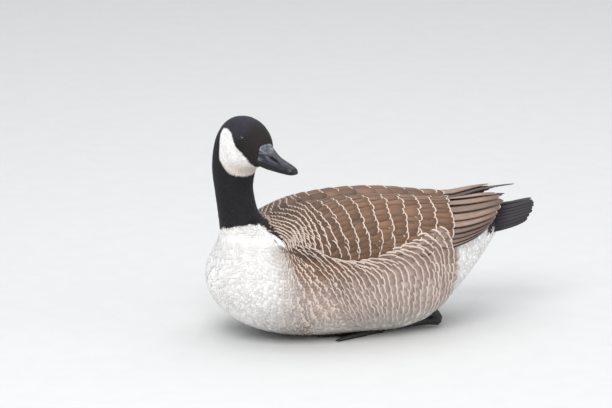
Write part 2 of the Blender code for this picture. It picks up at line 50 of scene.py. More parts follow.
HEAD_SHIFT_Y = 0.008
TORSO_RINGS = 16
# Rings from rump to bill: back x and z, belly x and z, half width, where the widest level lies,
# fullness above and below it, share of the head's turn
FLESH = np.array([
    (0.178, 0.128, 0.176, 0.115, 0.012, 0.5, 2, 2, 0),
    (0.168, 0.135, 0.166, 0.103, 0.026, 0.5, 2, 2, 0),
    (0.146, 0.15, 0.143, 0.074, 0.046, 0.52, 2, 2, 0),
    (0.115, 0.159, 0.109, 0.04, 0.069, 0.53, 2, 2.1, 0),
    (0.075, 0.166, 0.069, 0.01, 0.089, 0.53, 2, 2.3, 0),
    (0.03, 0.172, 0.026, -0.003, 0.102, 0.51, 2, 2.4, 0),
    (-0.02, 0.176, -0.026, -0.003, 0.107, 0.5, 2, 2.4, 0),
    (-0.068, 0.174, -0.08, -0.002, 0.106, 0.49, 2, 2.4, 0),
    (-0.1, 0.168, -0.13, 0.002, 0.1, 0.48, 2, 2.3, 0),
    (-0.122, 0.162, -0.178, 0.018, 0.092, 0.46, 2, 2.2, 0),
    (-0.135, 0.16, -0.21, 0.044, 0.08, 0.45, 2, 2.1, 0),
    (-0.143, 0.16, -0.221, 0.074, 0.066, 0.45, 2, 2, 0),
    (-0.149, 0.1615, -0.214, 0.099, 0.052, 0.46, 2, 2, 0),
    (-0.153, 0.164, -0.2075, 0.121, 0.041, 0.48, 2, 2, 0),
    (-0.1565, 0.1675, -0.2055, 0.141, 0.0335, 0.5, 2, 2, 0),
    (-0.1595, 0.177, -0.207, 0.159, 0.028, 0.5, 2, 2, 0.08),
    (-0.161, 0.19, -0.209, 0.177, 0.0252, 0.5, 2, 2, 0.26),
    (-0.161, 0.203, -0.2115, 0.193, 0.0252, 0.5, 2, 2, 0.52),
    (-0.16, 0.218, -0.2145, 0.206, 0.0268, 0.5, 2, 2, 0.8),
    (-0.1605, 0.234, -0.217, 0.2165, 0.0278, 0.5, 2, 2, 0.96),
    (-0.162, 0.249, -0.22, 0.2235, 0.028, 0.48, 2, 2.1, 1),
    (-0.166, 0.2655, -0.225, 0.228, 0.028, 0.46, 2, 2.2, 1),
    (-0.1755, 0.2812, -0.23, 0.2305, 0.0275, 0.45, 2, 2.2, 1),
    (-0.19, 0.2915, -0.234, 0.232, 0.0265, 0.46, 2, 2.2, 1),
    (-0.207, 0.295, -0.237, 0.233, 0.0255, 0.48, 2.1, 2.1, 1),
    (-0.222, 0.292, -0.24, 0.234, 0.0235, 0.49, 2.2, 2, 1),
    (-0.234, 0.284, -0.2425, 0.235, 0.0205, 0.49, 2.3, 2, 1),
    (-0.2415, 0.2745, -0.244, 0.2365, 0.0172, 0.48, 2.4, 2, 1),
    (-0.245, 0.266, -0.2455, 0.238, 0.0145, 0.46, 2.6, 2, 1),
])
LAST = len(FLESH) - 1
# The folded wings' surface along the bird: x, top, level of its lower edge, half width
CAPE = np.array([
    (-0.165, 0.150, 0.1300, 0.052),
    (-0.148, 0.1565, 0.1290, 0.067),
    (-0.130, 0.1635, 0.1275, 0.082),
    (-0.100, 0.174, 0.122, 0.096),
    (-0.050, 0.181, 0.117, 0.1035),
    (0.000, 0.181, 0.117, 0.1040),
    (0.050, 0.1755, 0.119, 0.0965),
    (0.090, 0.1695, 0.1165, 0.084),
    (0.125, 0.1670, 0.1215, 0.067),
    (0.155, 0.166, 0.1285, 0.048),
    (0.185, 0.163, 0.1385, 0.028),
    (0.215, 0.159, 0.1480, 0.012),
])
BACK_DIP = 0.0065
EYE = np.array([-0.2223, 0.0203, 0.2722])
EYE_RADIUS = 0.0056
EYE_WIDE = 0.0062
EYE_HIGH = 0.0039
SIDES = {-1: "left", 1: "right"}
REARWARD = (1.0, 0.0, 0.0)
RANDOM = np.random.default_rng(7)

# Colours of the plumage and bare parts, as reflected light
BLACK = (0.014, 0.013, 0.015)
# Crown: the black lightened and blued as painted sheen on the top of the head
CROWN_SHEEN = (0.032, 0.029, 0.040)
FACE = (0.024, 0.018, 0.016)
WHITE = (0.95, 0.925, 0.90)
# Chin: buff and darker, the painted shade low on the white cheeks
CHIN_SHADE = (0.62, 0.52, 0.40)
FLANK = (0.36, 0.252, 0.208)
FLANK_LOW = (0.50, 0.395, 0.350)
MANTLE = (0.120, 0.072, 0.049)
WING = (0.188, 0.104, 0.062)
RUMP = (0.035, 0.028, 0.026)
TAIL = (0.045, 0.040, 0.043)
CREAM = (0.86, 0.71, 0.61)
STREAK = (0.25, 0.185, 0.155)
BELLY = (0.72, 0.68, 0.64)
QUILL = (0.25, 0.168, 0.130)
PRIMARY = (0.110, 0.080, 0.070)
HORN = (0.022, 0.024, 0.032)


def blend(a, b, share):
    return np.asarray(a) * (1 - share) + np.asarray(b) * share


def painted(hue, *layers):
    """A colour with others laid over it, each by its share at every place."""
    for colour, share in layers:
        hue = blend(hue, colour, share[:, None])
    return hue


def step(low, high, value):
    t = np.clip((value - low) / (high - low), 0, 1)
    return t * t * (3 - 2 * t)


def unit(vectors):
    return vectors / np.maximum(np.linalg.norm(vectors, axis=-1, keepdims=True), 1e-12)


# Surfaces of the bird

def spline(knots, rows, t):
    """Smooth curves through rows at knots, read at every t."""
    gaps = np.diff(knots)
    slopes = np.diff(rows, axis=0) / gaps[:, None]
    tangents = np.empty_like(rows)
    tangents[0], tangents[-1] = slopes[0], slopes[-1]
    weight = (gaps[:-1] / (gaps[:-1] + gaps[1:]))[:, None]
    tangents[1:-1] = slopes[:-1] * (1 - weight) + slopes[1:] * weight
    i = np.clip(np.searchsorted(knots, t) - 1, 0, len(knots) - 2)
    u = ((t - knots[i]) / gaps[i])[:, None]
    width = gaps[i][:, None]
    return (
        (2 * u**3 - 3 * u**2 + 1) * rows[i]
        + (u**3 - 2 * u**2 + u) * width * tangents[i]
        + (3 * u**2 - 2 * u**3) * rows[i + 1]
        + (u**3 - u**2) * width * tangents[i + 1]
    )


def turned(points, share=1.0):
    """Points of the straight-necked bird carried round by their share of the head's turn."""
    angle = HEAD_TURN * share
    x, y = points[..., 0] - NECK_AXIS_X, points[..., 1]
    out = points.copy()
    out[..., 0] = NECK_AXIS_X + x * np.cos(angle) - y * np.sin(angle)
    out[..., 1] = x * np.sin(angle) + y * np.cos(angle) + HEAD_SHIFT_Y * share
    return out


def flesh(s, a, grow=0.0, straight=False):
    """The body's surface: station s from rump to bill, angle a from the left side up over the back."""
    row = spline(np.arange(LAST + 1.0), FLESH, np.clip(s, 0, LAST))
    xd, zd, xv, zv, half, share, above, below, twist = row.T
    zero = np.zeros_like(xd)
    back, belly = np.stack([xd, zero, zd], -1), np.stack([xv, zero, zv], -1)
    middle = belly + (back - belly) * share[:, None]
    up = unit(back - belly)
    sine, cosine = np.sin(a), np.cos(a)
    upper = sine >= 0
    power = 2 / np.where(upper, above, below)
    side = np.sign(cosine) * np.abs(cosine) ** power
    rise = np.sign(sine) * np.abs(sine) ** power
    reach = np.linalg.norm(np.where(upper[:, None], back, belly) - middle, axis=1)
    point = middle + up * (rise * (reach + grow))[:, None]
    point[:, 1] -= side * (half + grow)
    if not straight:
        point = turned(point, np.clip(twist, 0, 1))
    low = np.where(s < TORSO_RINGS - 2, np.maximum(0.0005, -grow), -1.0)
    point[:, 2] = np.maximum(point[:, 2], low)
    return point


def cape(x, a, rise=0.0):
    """The folded left wing's surface: place along the body, angle up from its lower edge."""
    _, top, low, half = spline(CAPE[:, 0], CAPE, x).T
    y = -(half + rise) * np.cos(a)
    z = low + (top - low + rise) * np.sin(a)
    near_back = np.maximum(0.0, (np.degrees(a) - 60) / 30)
    z = z - BACK_DIP * near_back**2 * np.clip((0.15 - x) / 0.06, 0, 1) * step(-0.120, -0.060, x)
    return np.stack([x, y, z], -1)


FLANK_TOP = np.array([
    (-0.150, 0.125), (-0.146, 0.133), (-0.128, 0.137), (-0.115, 0.134), (-0.096, 0.123), (-0.080, 0.1165),
    (-0.058, 0.1155), (-0.032, 0.1175), (-0.020, 0.1245), (0.001, 0.130), (0.025, 0.1355), (0.049, 0.142),
    (0.073, 0.143), (0.082, 0.132), (0.087, 0.115),
])


def flank_top(x):
    """Height of the line where the flank's feathers end over the wing."""
    return np.interp(x, FLANK_TOP[:, 0], FLANK_TOP[:, 1])


def flank(s, a):
    """The body's left surface, carried out over the folded wing where that stands further out."""
    point = flesh(s, a)
    x, y, z = point.T
    _, top, low, half = spline(CAPE[:, 0], CAPE, x).T
    wing = half * np.sqrt(1 - np.clip((z - low) / (top - low), -0.98, 0.98) ** 2) + 0.0008
    share = np.clip(0.5 + (wing + y) / 0.012, 0, 1)
    point[:, 1] = -(wing * share - y * (1 - share) + 0.006 * share * (1 - share))
    return point


def frame_of(surface, u, v):
    """Point, the two tangents and the outward normal of a surface at each (u, v)."""
    du, dv = 1e-3, 2e-3
    point = surface(u, v)
    tu = (surface(u + du, v) - surface(u - du, v)) / (2 * du)
    tv = (surface(u, v + dv) - surface(u, v - dv)) / (2 * dv)
    outward = 1 if surface in (flesh, flank) else -1
    return point, tu, tv, unit(np.cross(tv, tu)) * outward


# Feathers

VANE_START = 0.45


def vane_outline(t, root=0.55, blunt=2.2):
    """Half width along a feather: widening from the root, then a rounded tip."""
    tip = np.clip((t - VANE_START) / (1 - VANE_START), 0, 1)
    near = root + (1 - root) * np.sin(np.clip(t / VANE_START, 0, 1) * math.pi / 2)
    return np.where(t < VANE_START, near, (1 - np.minimum(tip, 0.995) ** blunt) ** (1 / blunt))


class Coat:
    """Feathers of one piece: closed thin blades, gathered and made into one mesh."""

    def __init__(self):
        self.points, self.quads, self.hues, self.vanes, self.rims, self.maps = ([] for _ in range(6))
        self.count = 0

    def add(self, grid, normals, across, along, thickness, hue, rim, seed, cell, cell_size):
        """grid: feather, row, column, xyz. across and along are the same grid's own coordinates."""
        n, rows, cols, _ = grid.shape
        thin = thickness * (1 - 0.75 * along**2)
        under = grid - normals[:, :, None, :] * thin[None, :, None, None]
        both = np.stack([grid, under], 1).reshape(-1, 3)
        size = rows * cols
        index = np.arange(size).reshape(rows, cols)
        a, b = index[:-1, :-1].ravel(), index[:-1, 1:].ravel()
        c, d = index[1:, 1:].ravel(), index[1:, :-1].ravel()
        top = np.stack([a, b, c, d], 1)
        bottom = np.stack([d, c, b, a], 1) + size
        border = np.concatenate([index[0, :], index[1:, -1], index[-1, -2::-1], index[-2:0:-1, 0]])
        after = np.roll(border, -1)
        rimfaces = np.stack([after, border, border + size, after + size], 1)
        faces = np.concatenate([top, bottom, rimfaces])
        starts = self.count + np.arange(n)[:, None, None] * 2 * size
        self.quads.append((faces[None] + starts).reshape(-1, 4))
        self.points.append(both)
        self.count += n * 2 * size

        def spread(values, *tail):
            return np.broadcast_to(values, (n, 2, rows, cols, *tail))

        along = along[:, None]
        seed, rim, cell_u, cell_v = (each[:, None, None, None] for each in (seed, rim, *cell.T))
        self.vanes.append(np.stack([spread(across), spread(along), spread(seed)], -1).reshape(-1, 3))
        self.hues.append(spread(hue[:, None], 3).reshape(-1, 3))
        self.rims.append(spread(rim).reshape(-1))
        u = spread(cell_u + across * cell_size * 0.45)
        v = spread(cell_v + (along - 0.5) * cell_size * 0.9)
        self.maps.append(np.clip(np.stack([u, v], -1), 0.0005, 0.9995).reshape(-1, 2))

    def mesh(self, name, side=-1):
        """Makes the object, with its colours and its map, mirrored for the right side."""
        points = np.concatenate(self.points)
        points[:, 2] = np.maximum(points[:, 2], 0.0004)
        quads = np.concatenate(self.quads)
        if side > 0:
            points = points * (1, -1, 1)
            quads = quads[:, ::-1]
        layers = self.hues, self.vanes, self.rims, self.maps
        return build(name, points, quads, *map(np.concatenate, layers))


def placed(name, data, spot=(0, 0, 0)):
    """A new object in the scene."""
    obj = bpy.data.objects.new(name, data)
    obj.location = spot
    bpy.context.scene.collection.objects.link(obj)
    return obj


def build(name, points, quads, hues=None, vanes=None, rims=None, maps=None):
    """One mesh object from arrays, with the point attributes the materials read."""
    mesh = bpy.data.meshes.new(name)
    mesh.vertices.add(len(points))
    mesh.vertices.foreach_set("co", np.asarray(points + SHIFT, np.float32).ravel())
    mesh.loops.add(quads.size)
    mesh.loops.foreach_set("vertex_index", np.asarray(quads, np.int32).ravel())
    mesh.polygons.add(len(quads))
    sides = quads.shape[1]
    mesh.polygons.foreach_set("loop_start", np.arange(0, quads.size, sides, dtype=np.int32))
    mesh.polygons.foreach_set("loop_total", np.full(len(quads), sides, np.int32))
    mesh.update(calc_edges=True)
    if hues is not None:
        layer = mesh.color_attributes.new("hue", "FLOAT_COLOR", "POINT")
        full = np.insert(np.clip(hues, 0, 1), 3, 1, axis=1)
        layer.data.foreach_set("color", np.asarray(full, np.float32).ravel())
    plain = ("vane", "FLOAT_VECTOR", "vector", vanes), ("rim", "FLOAT", "value", rims)
    for label, kind, field, values in plain:
        if values is not None:
            layer = mesh.attributes.new(label, kind, "POINT")
            layer.data.foreach_set(field, np.asarray(values, np.float32).ravel())
    if maps is not None:
        layer = mesh.uv_layers.new(name="OFBake")
        layer.data.foreach_set("uv", np.asarray(maps, np.float32)[quads.ravel()].ravel())
    mesh.shade_smooth()
    mesh.set_sharp_from_angle(angle=math.radians(50))
    return placed(name, mesh)


def march(surface, u, v, heading, length):
    """Steps of (u, v) that carry each root along its heading by its length."""
    _, tu, tv, normal = frame_of(surface, u, v)
    ahead = heading - normal * np.sum(heading * normal, 1, keepdims=True)
    ahead = unit(ahead) * np.broadcast_to(length, len(u))[:, None]
    uu, uv, vv = (tu * tu).sum(1), (tu * tv).sum(1), (tv * tv).sum(1)
    ru, rv = (tu * ahead).sum(1), (tv * ahead).sum(1)
    det = np.maximum(uu * vv - uv * uv, 1e-14)
    return (ru * vv - rv * uv) / det, (rv * uu - ru * uv) / det


def lay(coat, surface, u, v, heading, length, half_width, lifts, hue, rim, rows=6, cols=3,
        thickness=0.0004, camber=0.18, roll=0.0, root=0.55, blunt=2.2, cell_size=0.003, cell=None,
        tips=None):
    """Lays feathers over a surface from (u, v) along heading, or to tips. lifts: height at root and tip.

    hue is one colour, a colour a feather, or a function giving the colour at each (u, v).
    """
    n = len(u)
    length, half_width = np.broadcast_to(length, n), np.broadcast_to(half_width, n)
    if tips is None:
        step_u, step_v = march(surface, u, v, heading, length)
    else:
        step_u, step_v = tips[0] - u, tips[1] - v
    along = 1 - (1 - np.linspace(0, 1, rows)) ** 1.6
    column = np.linspace(-1, 1, cols)
    outline = vane_outline(along, root, blunt)
    spine, normals = [], []
    for t in along:
        place = frame_of(surface, u + step_u * t, v + step_v * t)
        spine.append(place[0])
        normals.append(place[3])
    spine, normals = np.stack(spine, 1), np.stack(normals, 1)
    sides = unit(np.cross(np.gradient(spine, axis=1), normals))
    low, high = (np.broadcast_to(lift, n)[:, None] for lift in lifts)
    lift = low + (high - low) * along[None] ** 1.2
    centre = spine + normals * lift[..., None]
    wide = half_width[:, None] * outline[None]
    grid = centre[:, :, None, :] + sides[:, :, None, :] * (wide[:, :, None] * column)[..., None]
    tilt = np.broadcast_to(roll, n)[:, None, None] * wide[:, :, None] * column
    grid = grid + normals[:, :, None, :] * (tilt - camber * wide[:, :, None] * column**2)[..., None]
    if cell is None:
        cell = np.stack([np.clip(u / LAST, 0, 1), (v / (2 * math.pi)) % 1.0], 1)
    across = outline[:, None] * column[None]
    if callable(hue):
        hue = np.stack([hue(u + step_u * t, v + step_v * t) for t in along], 1)[:, :, None]
    else:
        hue = np.broadcast_to(hue, (n, 3))[:, None, None]
    rim = np.broadcast_to(rim, n)
    coat.add(grid, normals, across, along, thickness, hue, rim, RANDOM.random(n), cell, cell_size)


def eye_spot(side):
    return turned(np.array([EYE[0], side * EYE[1], EYE[2]]))


# What carries these places to the solids' own: the left eye is where both agree
SHIFT = np.mean(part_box("eye_left"), axis=0) - eye_spot(-1)


# Markings: the same for the skin and the feathers over it

CHEEK = np.array([
    (-0.1865, 0.2789), (-0.1955, 0.2805), (-0.2060, 0.2761), (-0.2112, 0.2687), (-0.2160, 0.2602),
    (-0.2250, 0.2537), (-0.2310, 0.2458), (-0.2343, 0.2351), (-0.2345, 0.2290), (-0.2230, 0.2165),
    (-0.2130, 0.2190), (-0.2022, 0.2241), (-0.1949, 0.2327), (-0.1890, 0.2408), (-0.1874, 0.2574),
    (-0.1843, 0.2715),
])


def inside_distance(x, z, outline):
    """Distance to an outline's edge, positive inside it."""
    best = np.full(len(x), 1.0)
    within = np.zeros(len(x), bool)
    for (ax, az), (bx, bz) in zip(outline, np.roll(outline, -1, axis=0)):
        ex, ez = bx - ax, bz - az
        t = np.clip(((x - ax) * ex + (z - az) * ez) / (ex * ex + ez * ez), 0, 1)
        best = np.minimum(best, np.hypot(x - ax - t * ex, z - az - t * ez))
        crosses = (az > z) != (bz > z)
        within ^= crosses & (x < ax + (z - az) / np.where(ez == 0, 1e-9, ez) * ex)
    return np.where(within, best, -best)


def breast_line(z):
    """Where the white breast ends, going back along the bird, at each height."""
    return -0.150 + 0.356 * np.maximum(0, 0.143 - z) - 0.90 * np.maximum(0, z - 0.143)


def over_collar(x, y, z):
    """Height above the line where the black neck ends over the white breast."""
    return z - 0.1456 - 0.07 * (x + 0.2055) + 0.24 * y


def markings(s, a, jitter=0.0):
    """Colour and strength of the pale feather edge at each place of the body."""
    x, y, z = flesh(s, a).T
    plain = flesh(s, a, straight=True)
    # Body: brown flank and mantle, pale belly, white breast and vent
    upper = step(-0.010, 0.004, z - np.where(x < -0.10, 0.118, flank_top(x)))
    rim = (1 - 0.6 * step(0.050, 0.015, z)) * (1 - 0.8 * step(0.160, 0.167, z) * (x > -0.10))
    edge = x - breast_line(z) + jitter
    pale = step(0.004, -0.006, edge)
    streaked = step(-0.020 - 0.5 * np.clip(0.140 - z, 0, 0.1), 0.002, edge) * step(0.143, 0.120, z)
    vent = step(0.090, 0.098, x + jitter) * step(0.150, 0.140, z)
    rump = step(0.075, 0.095, x) * step(0.146, 0.150, z) * step(0.148, 0.140, x)
    by_quills = step(0.1165, 0.1195, z - 0.25 * (x - 0.156))
    stern = step(0.146, 0.152, x) * by_quills * step(0.012, 0.016, np.abs(y))
    hue = painted(
        FLANK, (WING, 0.95 * step(0.000, -0.090, x)), (FLANK_LOW, step(0.110, 0.050, z)),
        (BELLY, step(0.045, 0.015, z)), (MANTLE, upper), (painted(WHITE, (STREAK, 0.8 * streaked)), pale),
        (WHITE, vent), (RUMP, rump), (TAIL, stern),
    )
    rim = (rim * (1 - pale) + streaked * pale) * (1 - vent) * (1 - rump)
    # Neck and head: black down to the collar, with the white cheeks joined under the chin
    above = over_collar(x, y, z) + jitter
    nape = 0.0045 * step(0.133, 0.143, z) + 0.47 * np.maximum(0, z - 0.143)
    behind = np.minimum(breast_line(z) + nape, -0.150)
    down_nape = step(0.0010, -0.0010, x - behind + jitter)
    dark = np.where(x < breast_line(z), step(-0.0010, 0.0010, above), down_nape)
    dark = np.where((s > 15.2) | ((z > 0.1655) & (x < -0.150)), 1.0, dark * (x < -0.130))
    px, pz = plain[:, 0], plain[:, 2]
    # Towards the top of the head the black turns to the crown colour: painted sheen
    cap = painted(BLACK, (CROWN_SHEEN, step(0.262, 0.280, pz)), (FACE, step(-0.222, -0.236, px) * (s > 17)))
    cheek = step(-0.0006, 0.0006, inside_distance(px, pz, CHEEK) + jitter * 0.3) * (s > 17)
    # The white cheeks turn buff and darker low down: painted shade under the head
    chin = painted(WHITE, (CHIN_SHADE, 0.55 * step(0.246, 0.226, pz)))
    return painted(hue, (cap, dark), (chin, cheek)), rim * (1 - dark)


def flow(s, a):
    """Which way the feathers point over the body."""
    (x, y, z), (_, tu, _, normal) = flesh(s, a).T, frame_of(flesh, s, a)
    zero = np.zeros_like(x)
    dx, dz = x + 0.146, z - 0.134
    round_breast = unit(np.stack([-dz, zero, dx], -1) + 1e-9)
    rise = 0.40 * step(0.0, 0.5, 1 - np.abs(normal[:, 2])) * step(0.015, 0.06, z)
    rear = unit(np.stack([zero + 1, zero, rise * (x < 0.1) + 0.25 * (x > 0.1)], -1))
    field = blend(round_breast, rear, step(0.02, 0.09, dx)[:, None])
    inward = 0.75 * np.clip(np.abs(y) / 0.035, 0, 1) * step(-0.07, -0.10, x)
    over_back = np.stack([np.cos(inward), -np.sign(y) * np.sin(inward), zero], -1)
    field = blend(field, over_back, step(-0.004, 0.012, dz)[:, None])
    return unit(blend(field, unit(-tu), step(12.2, 13.8, s)[:, None]))


def scatter(spacing, wanted, tries, seed):
    """Evenly spread places on the body: spacing(s, point) apart, where wanted(s, point) says so."""
    rng = np.random.default_rng(seed)
    s = np.linspace(0, LAST, LAST * 8 + 1)
    a = np.linspace(-math.pi, math.pi, 97)
    middles = (s[1:] + s[:-1]) / 2, (a[1:] + a[:-1]) / 2
    grid_s, grid_a = (g.ravel() for g in np.meshgrid(*middles, indexing="ij"))
    point, tu, tv, _ = frame_of(flesh, grid_s, grid_a)
    area = np.linalg.norm(np.cross(tu, tv), axis=1)
    weight = area / spacing(grid_s, point) ** 2 * wanted(grid_s, point)
    pick = rng.choice(len(weight), tries, p=weight / weight.sum())
    s_all = grid_s[pick] + (rng.random(tries) - 0.5) * (s[1] - s[0])
    a_all = grid_a[pick] + (rng.random(tries) - 0.5) * (a[1] - a[0])
    point = flesh(s_all, a_all)
    gone = wanted(s_all, point) <= rng.random(tries)
    reach = spacing(s_all, point)
    tree = kdtree.KDTree(tries)
    for i, p in enumerate(point):
        tree.insert(p, i)
    tree.balance()
    chosen = []
    for i in range(tries):
        if gone[i]:
            continue
        chosen.append(i)
        for _, j, _ in tree.find_range(point[i], reach[i]):
            gone[j] = True
    chosen = np.array(chosen)
    return s_all[chosen], a_all[chosen], point[chosen], reach[chosen]


# Materials

def shader_maths(operation, swapped=False):
    """An operator of the class below, as a Math node."""
    def apply(self, other):
        pair = (other, self) if swapped else (self, other)
        return self.board.node("ShaderNodeMath", {"operation": operation}, pair)
    return apply


class Socket:
    """A shader socket that takes part in Python arithmetic."""

    def __init__(self, board, socket):
        self.board, self.socket = board, socket

    __add__, __radd__ = shader_maths("ADD"), shader_maths("ADD", True)
    __sub__, __rsub__ = shader_maths("SUBTRACT"), shader_maths("SUBTRACT", True)
    __mul__, __rmul__ = shader_maths("MULTIPLY"), shader_maths("MULTIPLY", True)
    __truediv__, __rtruediv__ = shader_maths("DIVIDE"), shader_maths("DIVIDE", True)
    __pow__, __rpow__ = shader_maths("POWER"), shader_maths("POWER", True)

    def abs(self):
        return self.board.node("ShaderNodeMath", {"operation": "ABSOLUTE"}, [self])

    def at_least(self, value):
        return self.board.node("ShaderNodeMath", {"operation": "MAXIMUM"}, [self, value])

    def smooth(self, low, high):
        """0 below low, 1 above high, smooth between; low may be the higher."""
        if low > high:
            return 1 - self.smooth(high, low)
        wants = {"Value": self, "From Min": low, "From Max": high}
        return self.board.node("ShaderNodeMapRange", {"interpolation_type": "SMOOTHSTEP"}, wants)


class Board:
    """A material's node board."""

    def __init__(self, name, roughness, **constants):
        self.material = bpy.data.materials.new(name)
        self.material.use_nodes = True
        self.tree = self.material.node_tree
        self.shader = self.tree.nodes["Principled BSDF"]
        self.shader.inputs["Roughness"].default_value = roughness
        for socket, value in constants.items():
            self.shader.inputs[socket.replace("_", " ")].default_value = value

    def node(self, kind, settings=None, inputs=(), output=0):
        node = self.tree.nodes.new(kind)
        for name, value in (settings or {}).items():
            setattr(node, name, value)
        pairs = inputs.items() if isinstance(inputs, dict) else enumerate(inputs)
        for key, value in pairs:
            if isinstance(value, Socket):
                self.tree.links.new(value.socket, node.inputs[key])
            elif value is not None:
                node.inputs[key].default_value = value
        return Socket(self, node.outputs[output])

    def read(self, name, output="Vector"):
        return self.node("ShaderNodeAttribute", {"attribute_name": name}, (), output)

    def parts(self, vector):
        first = self.node("ShaderNodeSeparateXYZ", None, [vector])
        return [Socket(self, out) for out in first.socket.node.outputs]

    def join(self, x, y, z):
        return self.node("ShaderNodeCombineXYZ", None, [x, y, z])

    def noise(self, vector, scale, detail=2.0, roughness=0.5):
        wants = {"Vector": vector, "Scale": scale, "Detail": detail, "Roughness": roughness}
        return self.node("ShaderNodeTexNoise", None, wants)

    def place(self):
        return self.node("ShaderNodeTexCoord", None, (), "Object")

    def mix(self, share, a, b, how="MIX"):
        """Two colours mixed; a plain colour is given as its three values."""
        a, b = (c if isinstance(c, Socket) else (*c, 1) for c in (a, b))
        settings = {"data_type": "RGBA", "blend_type": how}
        return self.node("ShaderNodeMix", settings, {0: share, 6: a, 7: b}, 2)

    def shaded(self, colour, tone):
        """A colour made darker or lighter all at once."""
        return self.mix(1.0, colour, self.join(tone, tone, tone), "MULTIPLY")

    def finish(self, colour, roughness=None, bump=None, strength=0.3, distance=0.0005):
        """Joins what varies over the surface to the shader."""
        if bump is not None:
            wants = {"Strength": strength, "Distance": distance, "Height": bump}
            bump = self.node("ShaderNodeBump", None, wants)
        for name, value in (("Base Color", colour), ("Roughness", roughness), ("Normal", bump)):
            if value is not None:
                self.tree.links.new(value.socket, self.shader.inputs[name])
        return self.material


def vane_material(name, blunt, rim, barbs=26.0, contrast=1.0, gap=0.0):
    """Feather: its own colour, barbs slanting off the shaft, and a pale edge, faded by wear, towards the
    tip.
    """
    b = Board(name, 0.78, Sheen_Weight=0.08, Specular_IOR_Level=0.25)
    hue = b.read("hue", "Color")
    x, y, seed = b.parts(b.read("vane"))
    far = x.abs()
    slant = y * barbs * 1.6 - far * barbs * 0.55 + seed * 37.0
    barb = b.noise(b.join(slant, far * 1.5, seed * 50.0), 1.0, 3.0, 0.65)
    blotch = b.noise(b.join(x * 1.4, y * 2.2, seed * 91.0), 1.3, 2.0)
    tip = ((y - VANE_START) / (1 - VANE_START)).at_least(0.0)
    ragged = (barb - 0.5) * 0.05 + (blotch - 0.5) * 0.06
    border = (far ** blunt + tip ** blunt) ** (1 / blunt) + ragged
    amount = b.read("rim", "Fac")
    wide = amount * rim
    edge = ((border - 1) / wide + 1.35) / 0.7
    pale = edge.smooth(0.0, 1.0) * amount.smooth(0.0, 0.6) * (tip + wide).smooth(0.82, 0.99)
    patch = b.noise(b.place(), 95.0, 3.0, 0.6)
    shade = 0.54 + barb * 0.34 + blotch * 0.30 + patch * 0.36 + (seed - 0.5) * 0.16
    inner = 1 - border.smooth(0.45, 1 - rim * 1.1) * 0.34
    shaft = far.smooth(0.06, 0.012) * 0.25 * y.smooth(1.0, 0.6)
    tone = (shade * inner * (1 - shaft) - 1) * contrast + 1
    body = b.shaded(hue, tone)
    wear_and_glints = 0.80 + (barb - 0.5) * 0.5 + (patch - 0.5) * 0.5
    colour = b.mix(pale * wear_and_glints, body, b.mix(0.15, CREAM, hue))
    # With gap: a near-black band along one side of each feather, painted shadow between overlapping long
    # feathers, with their dark inner vane
    if gap:
        edge = (x - 1) / ((seed * 0.8 + 0.35) * gap) + 1
        colour = b.mix(edge.smooth(0.0, 0.4), colour, (0.012, 0.010, 0.010))
    return b.finish(colour, 0.70 + barb * 0.18, barb * 0.6 + shaft * 1.5, 0.3 * contrast, 0.0005)


def down_material(name):
    """Skin under the coat, and the bare lids: short streaks over the marking."""
    b = Board(name, 0.85, Specular_IOR_Level=0.2)
    hue = b.read("hue", "Color")
    place = b.place()
    fine = b.noise(place, 900.0, 3.0)
    soft = b.noise(place, 160.0, 2.0)
    tone = 0.72 + fine * 0.36 + soft * 0.20
    return b.finish(b.shaded(hue, tone), 0.78 + fine * 0.15, fine, 0.5, 0.0008)


# Pieces

def skin_depth(s):
    return -(0.0034 - 0.0024 * step(12, 15.5, s))


def tube(points, rows, capped=True, inward=False):
    """Faces round a tube given ring by ring, with a fan over each end."""
    around = len(points) // rows
    index = np.arange(rows * around).reshape(rows, around)
    after = np.roll(index, -1, axis=1)
    quads = np.stack([index[:-1], after[:-1], after[1:], index[1:]], -1).reshape(-1, 4)
    if capped:
        ends = []
        for ring, hub in ((index[0, ::-1], len(points)), (index[-1], len(points) + 1)):
            hubs = np.full(around // 2, hub)
            ends.append(np.stack([hubs, ring[::2], ring[1::2], np.roll(ring, -2)[::2]], 1))
        quads = np.concatenate([quads, *ends])
        points = np.concatenate([points, points[index[:1]].mean(1), points[index[-1:]].mean(1)])
    return points, quads[:, ::-1] if inward else quads


def make_skin():
    """One skin over rump, body, neck and head."""
    stations = np.unique(np.concatenate([np.linspace(0, 14, 113), np.linspace(14, LAST, 170)]))
    s, a = np.meshgrid(stations, np.linspace(0, 2 * math.pi, 160, endpoint=False), indexing="ij")
    s, a = s.ravel(), a.ravel()
    points, quads = tube(flesh(s, a, skin_depth(s)), len(stations))
    hue, _ = markings(s, a)
    hue = np.concatenate([hue, hue[:1], hue[-1:]])
    uv = np.stack([s / LAST, (a / (2 * math.pi)) % 1.0], 1)
    uv = np.concatenate([uv, [[0.001, 0.5]], [[0.999, 0.5]]])
    skin = build("skin", points, quads, hue, np.zeros((len(points), 3)), np.zeros(len(points)), uv)
    finish_piece(skin, down_material("skin_down"), "black_plumage", "torso", "neck", "head")


def finish_piece(piece, material, slot, *nodes):
    """Gives a piece its material and its body, and hides the solids that it stands for; slot is not used."""
    piece.data.materials.append(material)
    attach(piece, "root")
    if nodes:
        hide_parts(*nodes)


def seen_markings(s, a, heading, length, jitter):
    """The colour of each feather at every place it covers, and its rim where it shows, towards the tip."""
    step_s, step_a = march(flesh, s, a, heading, length * 0.72)
    off = (RANDOM.random(len(s)) - 0.5) * jitter
    tone = 0.90 + 0.20 * RANDOM.random((len(s), 1))

    def paint(s, a):
        return markings(s, a, off)[0] * tone

    return paint, markings(s + step_s, a + step_a, off)[1]


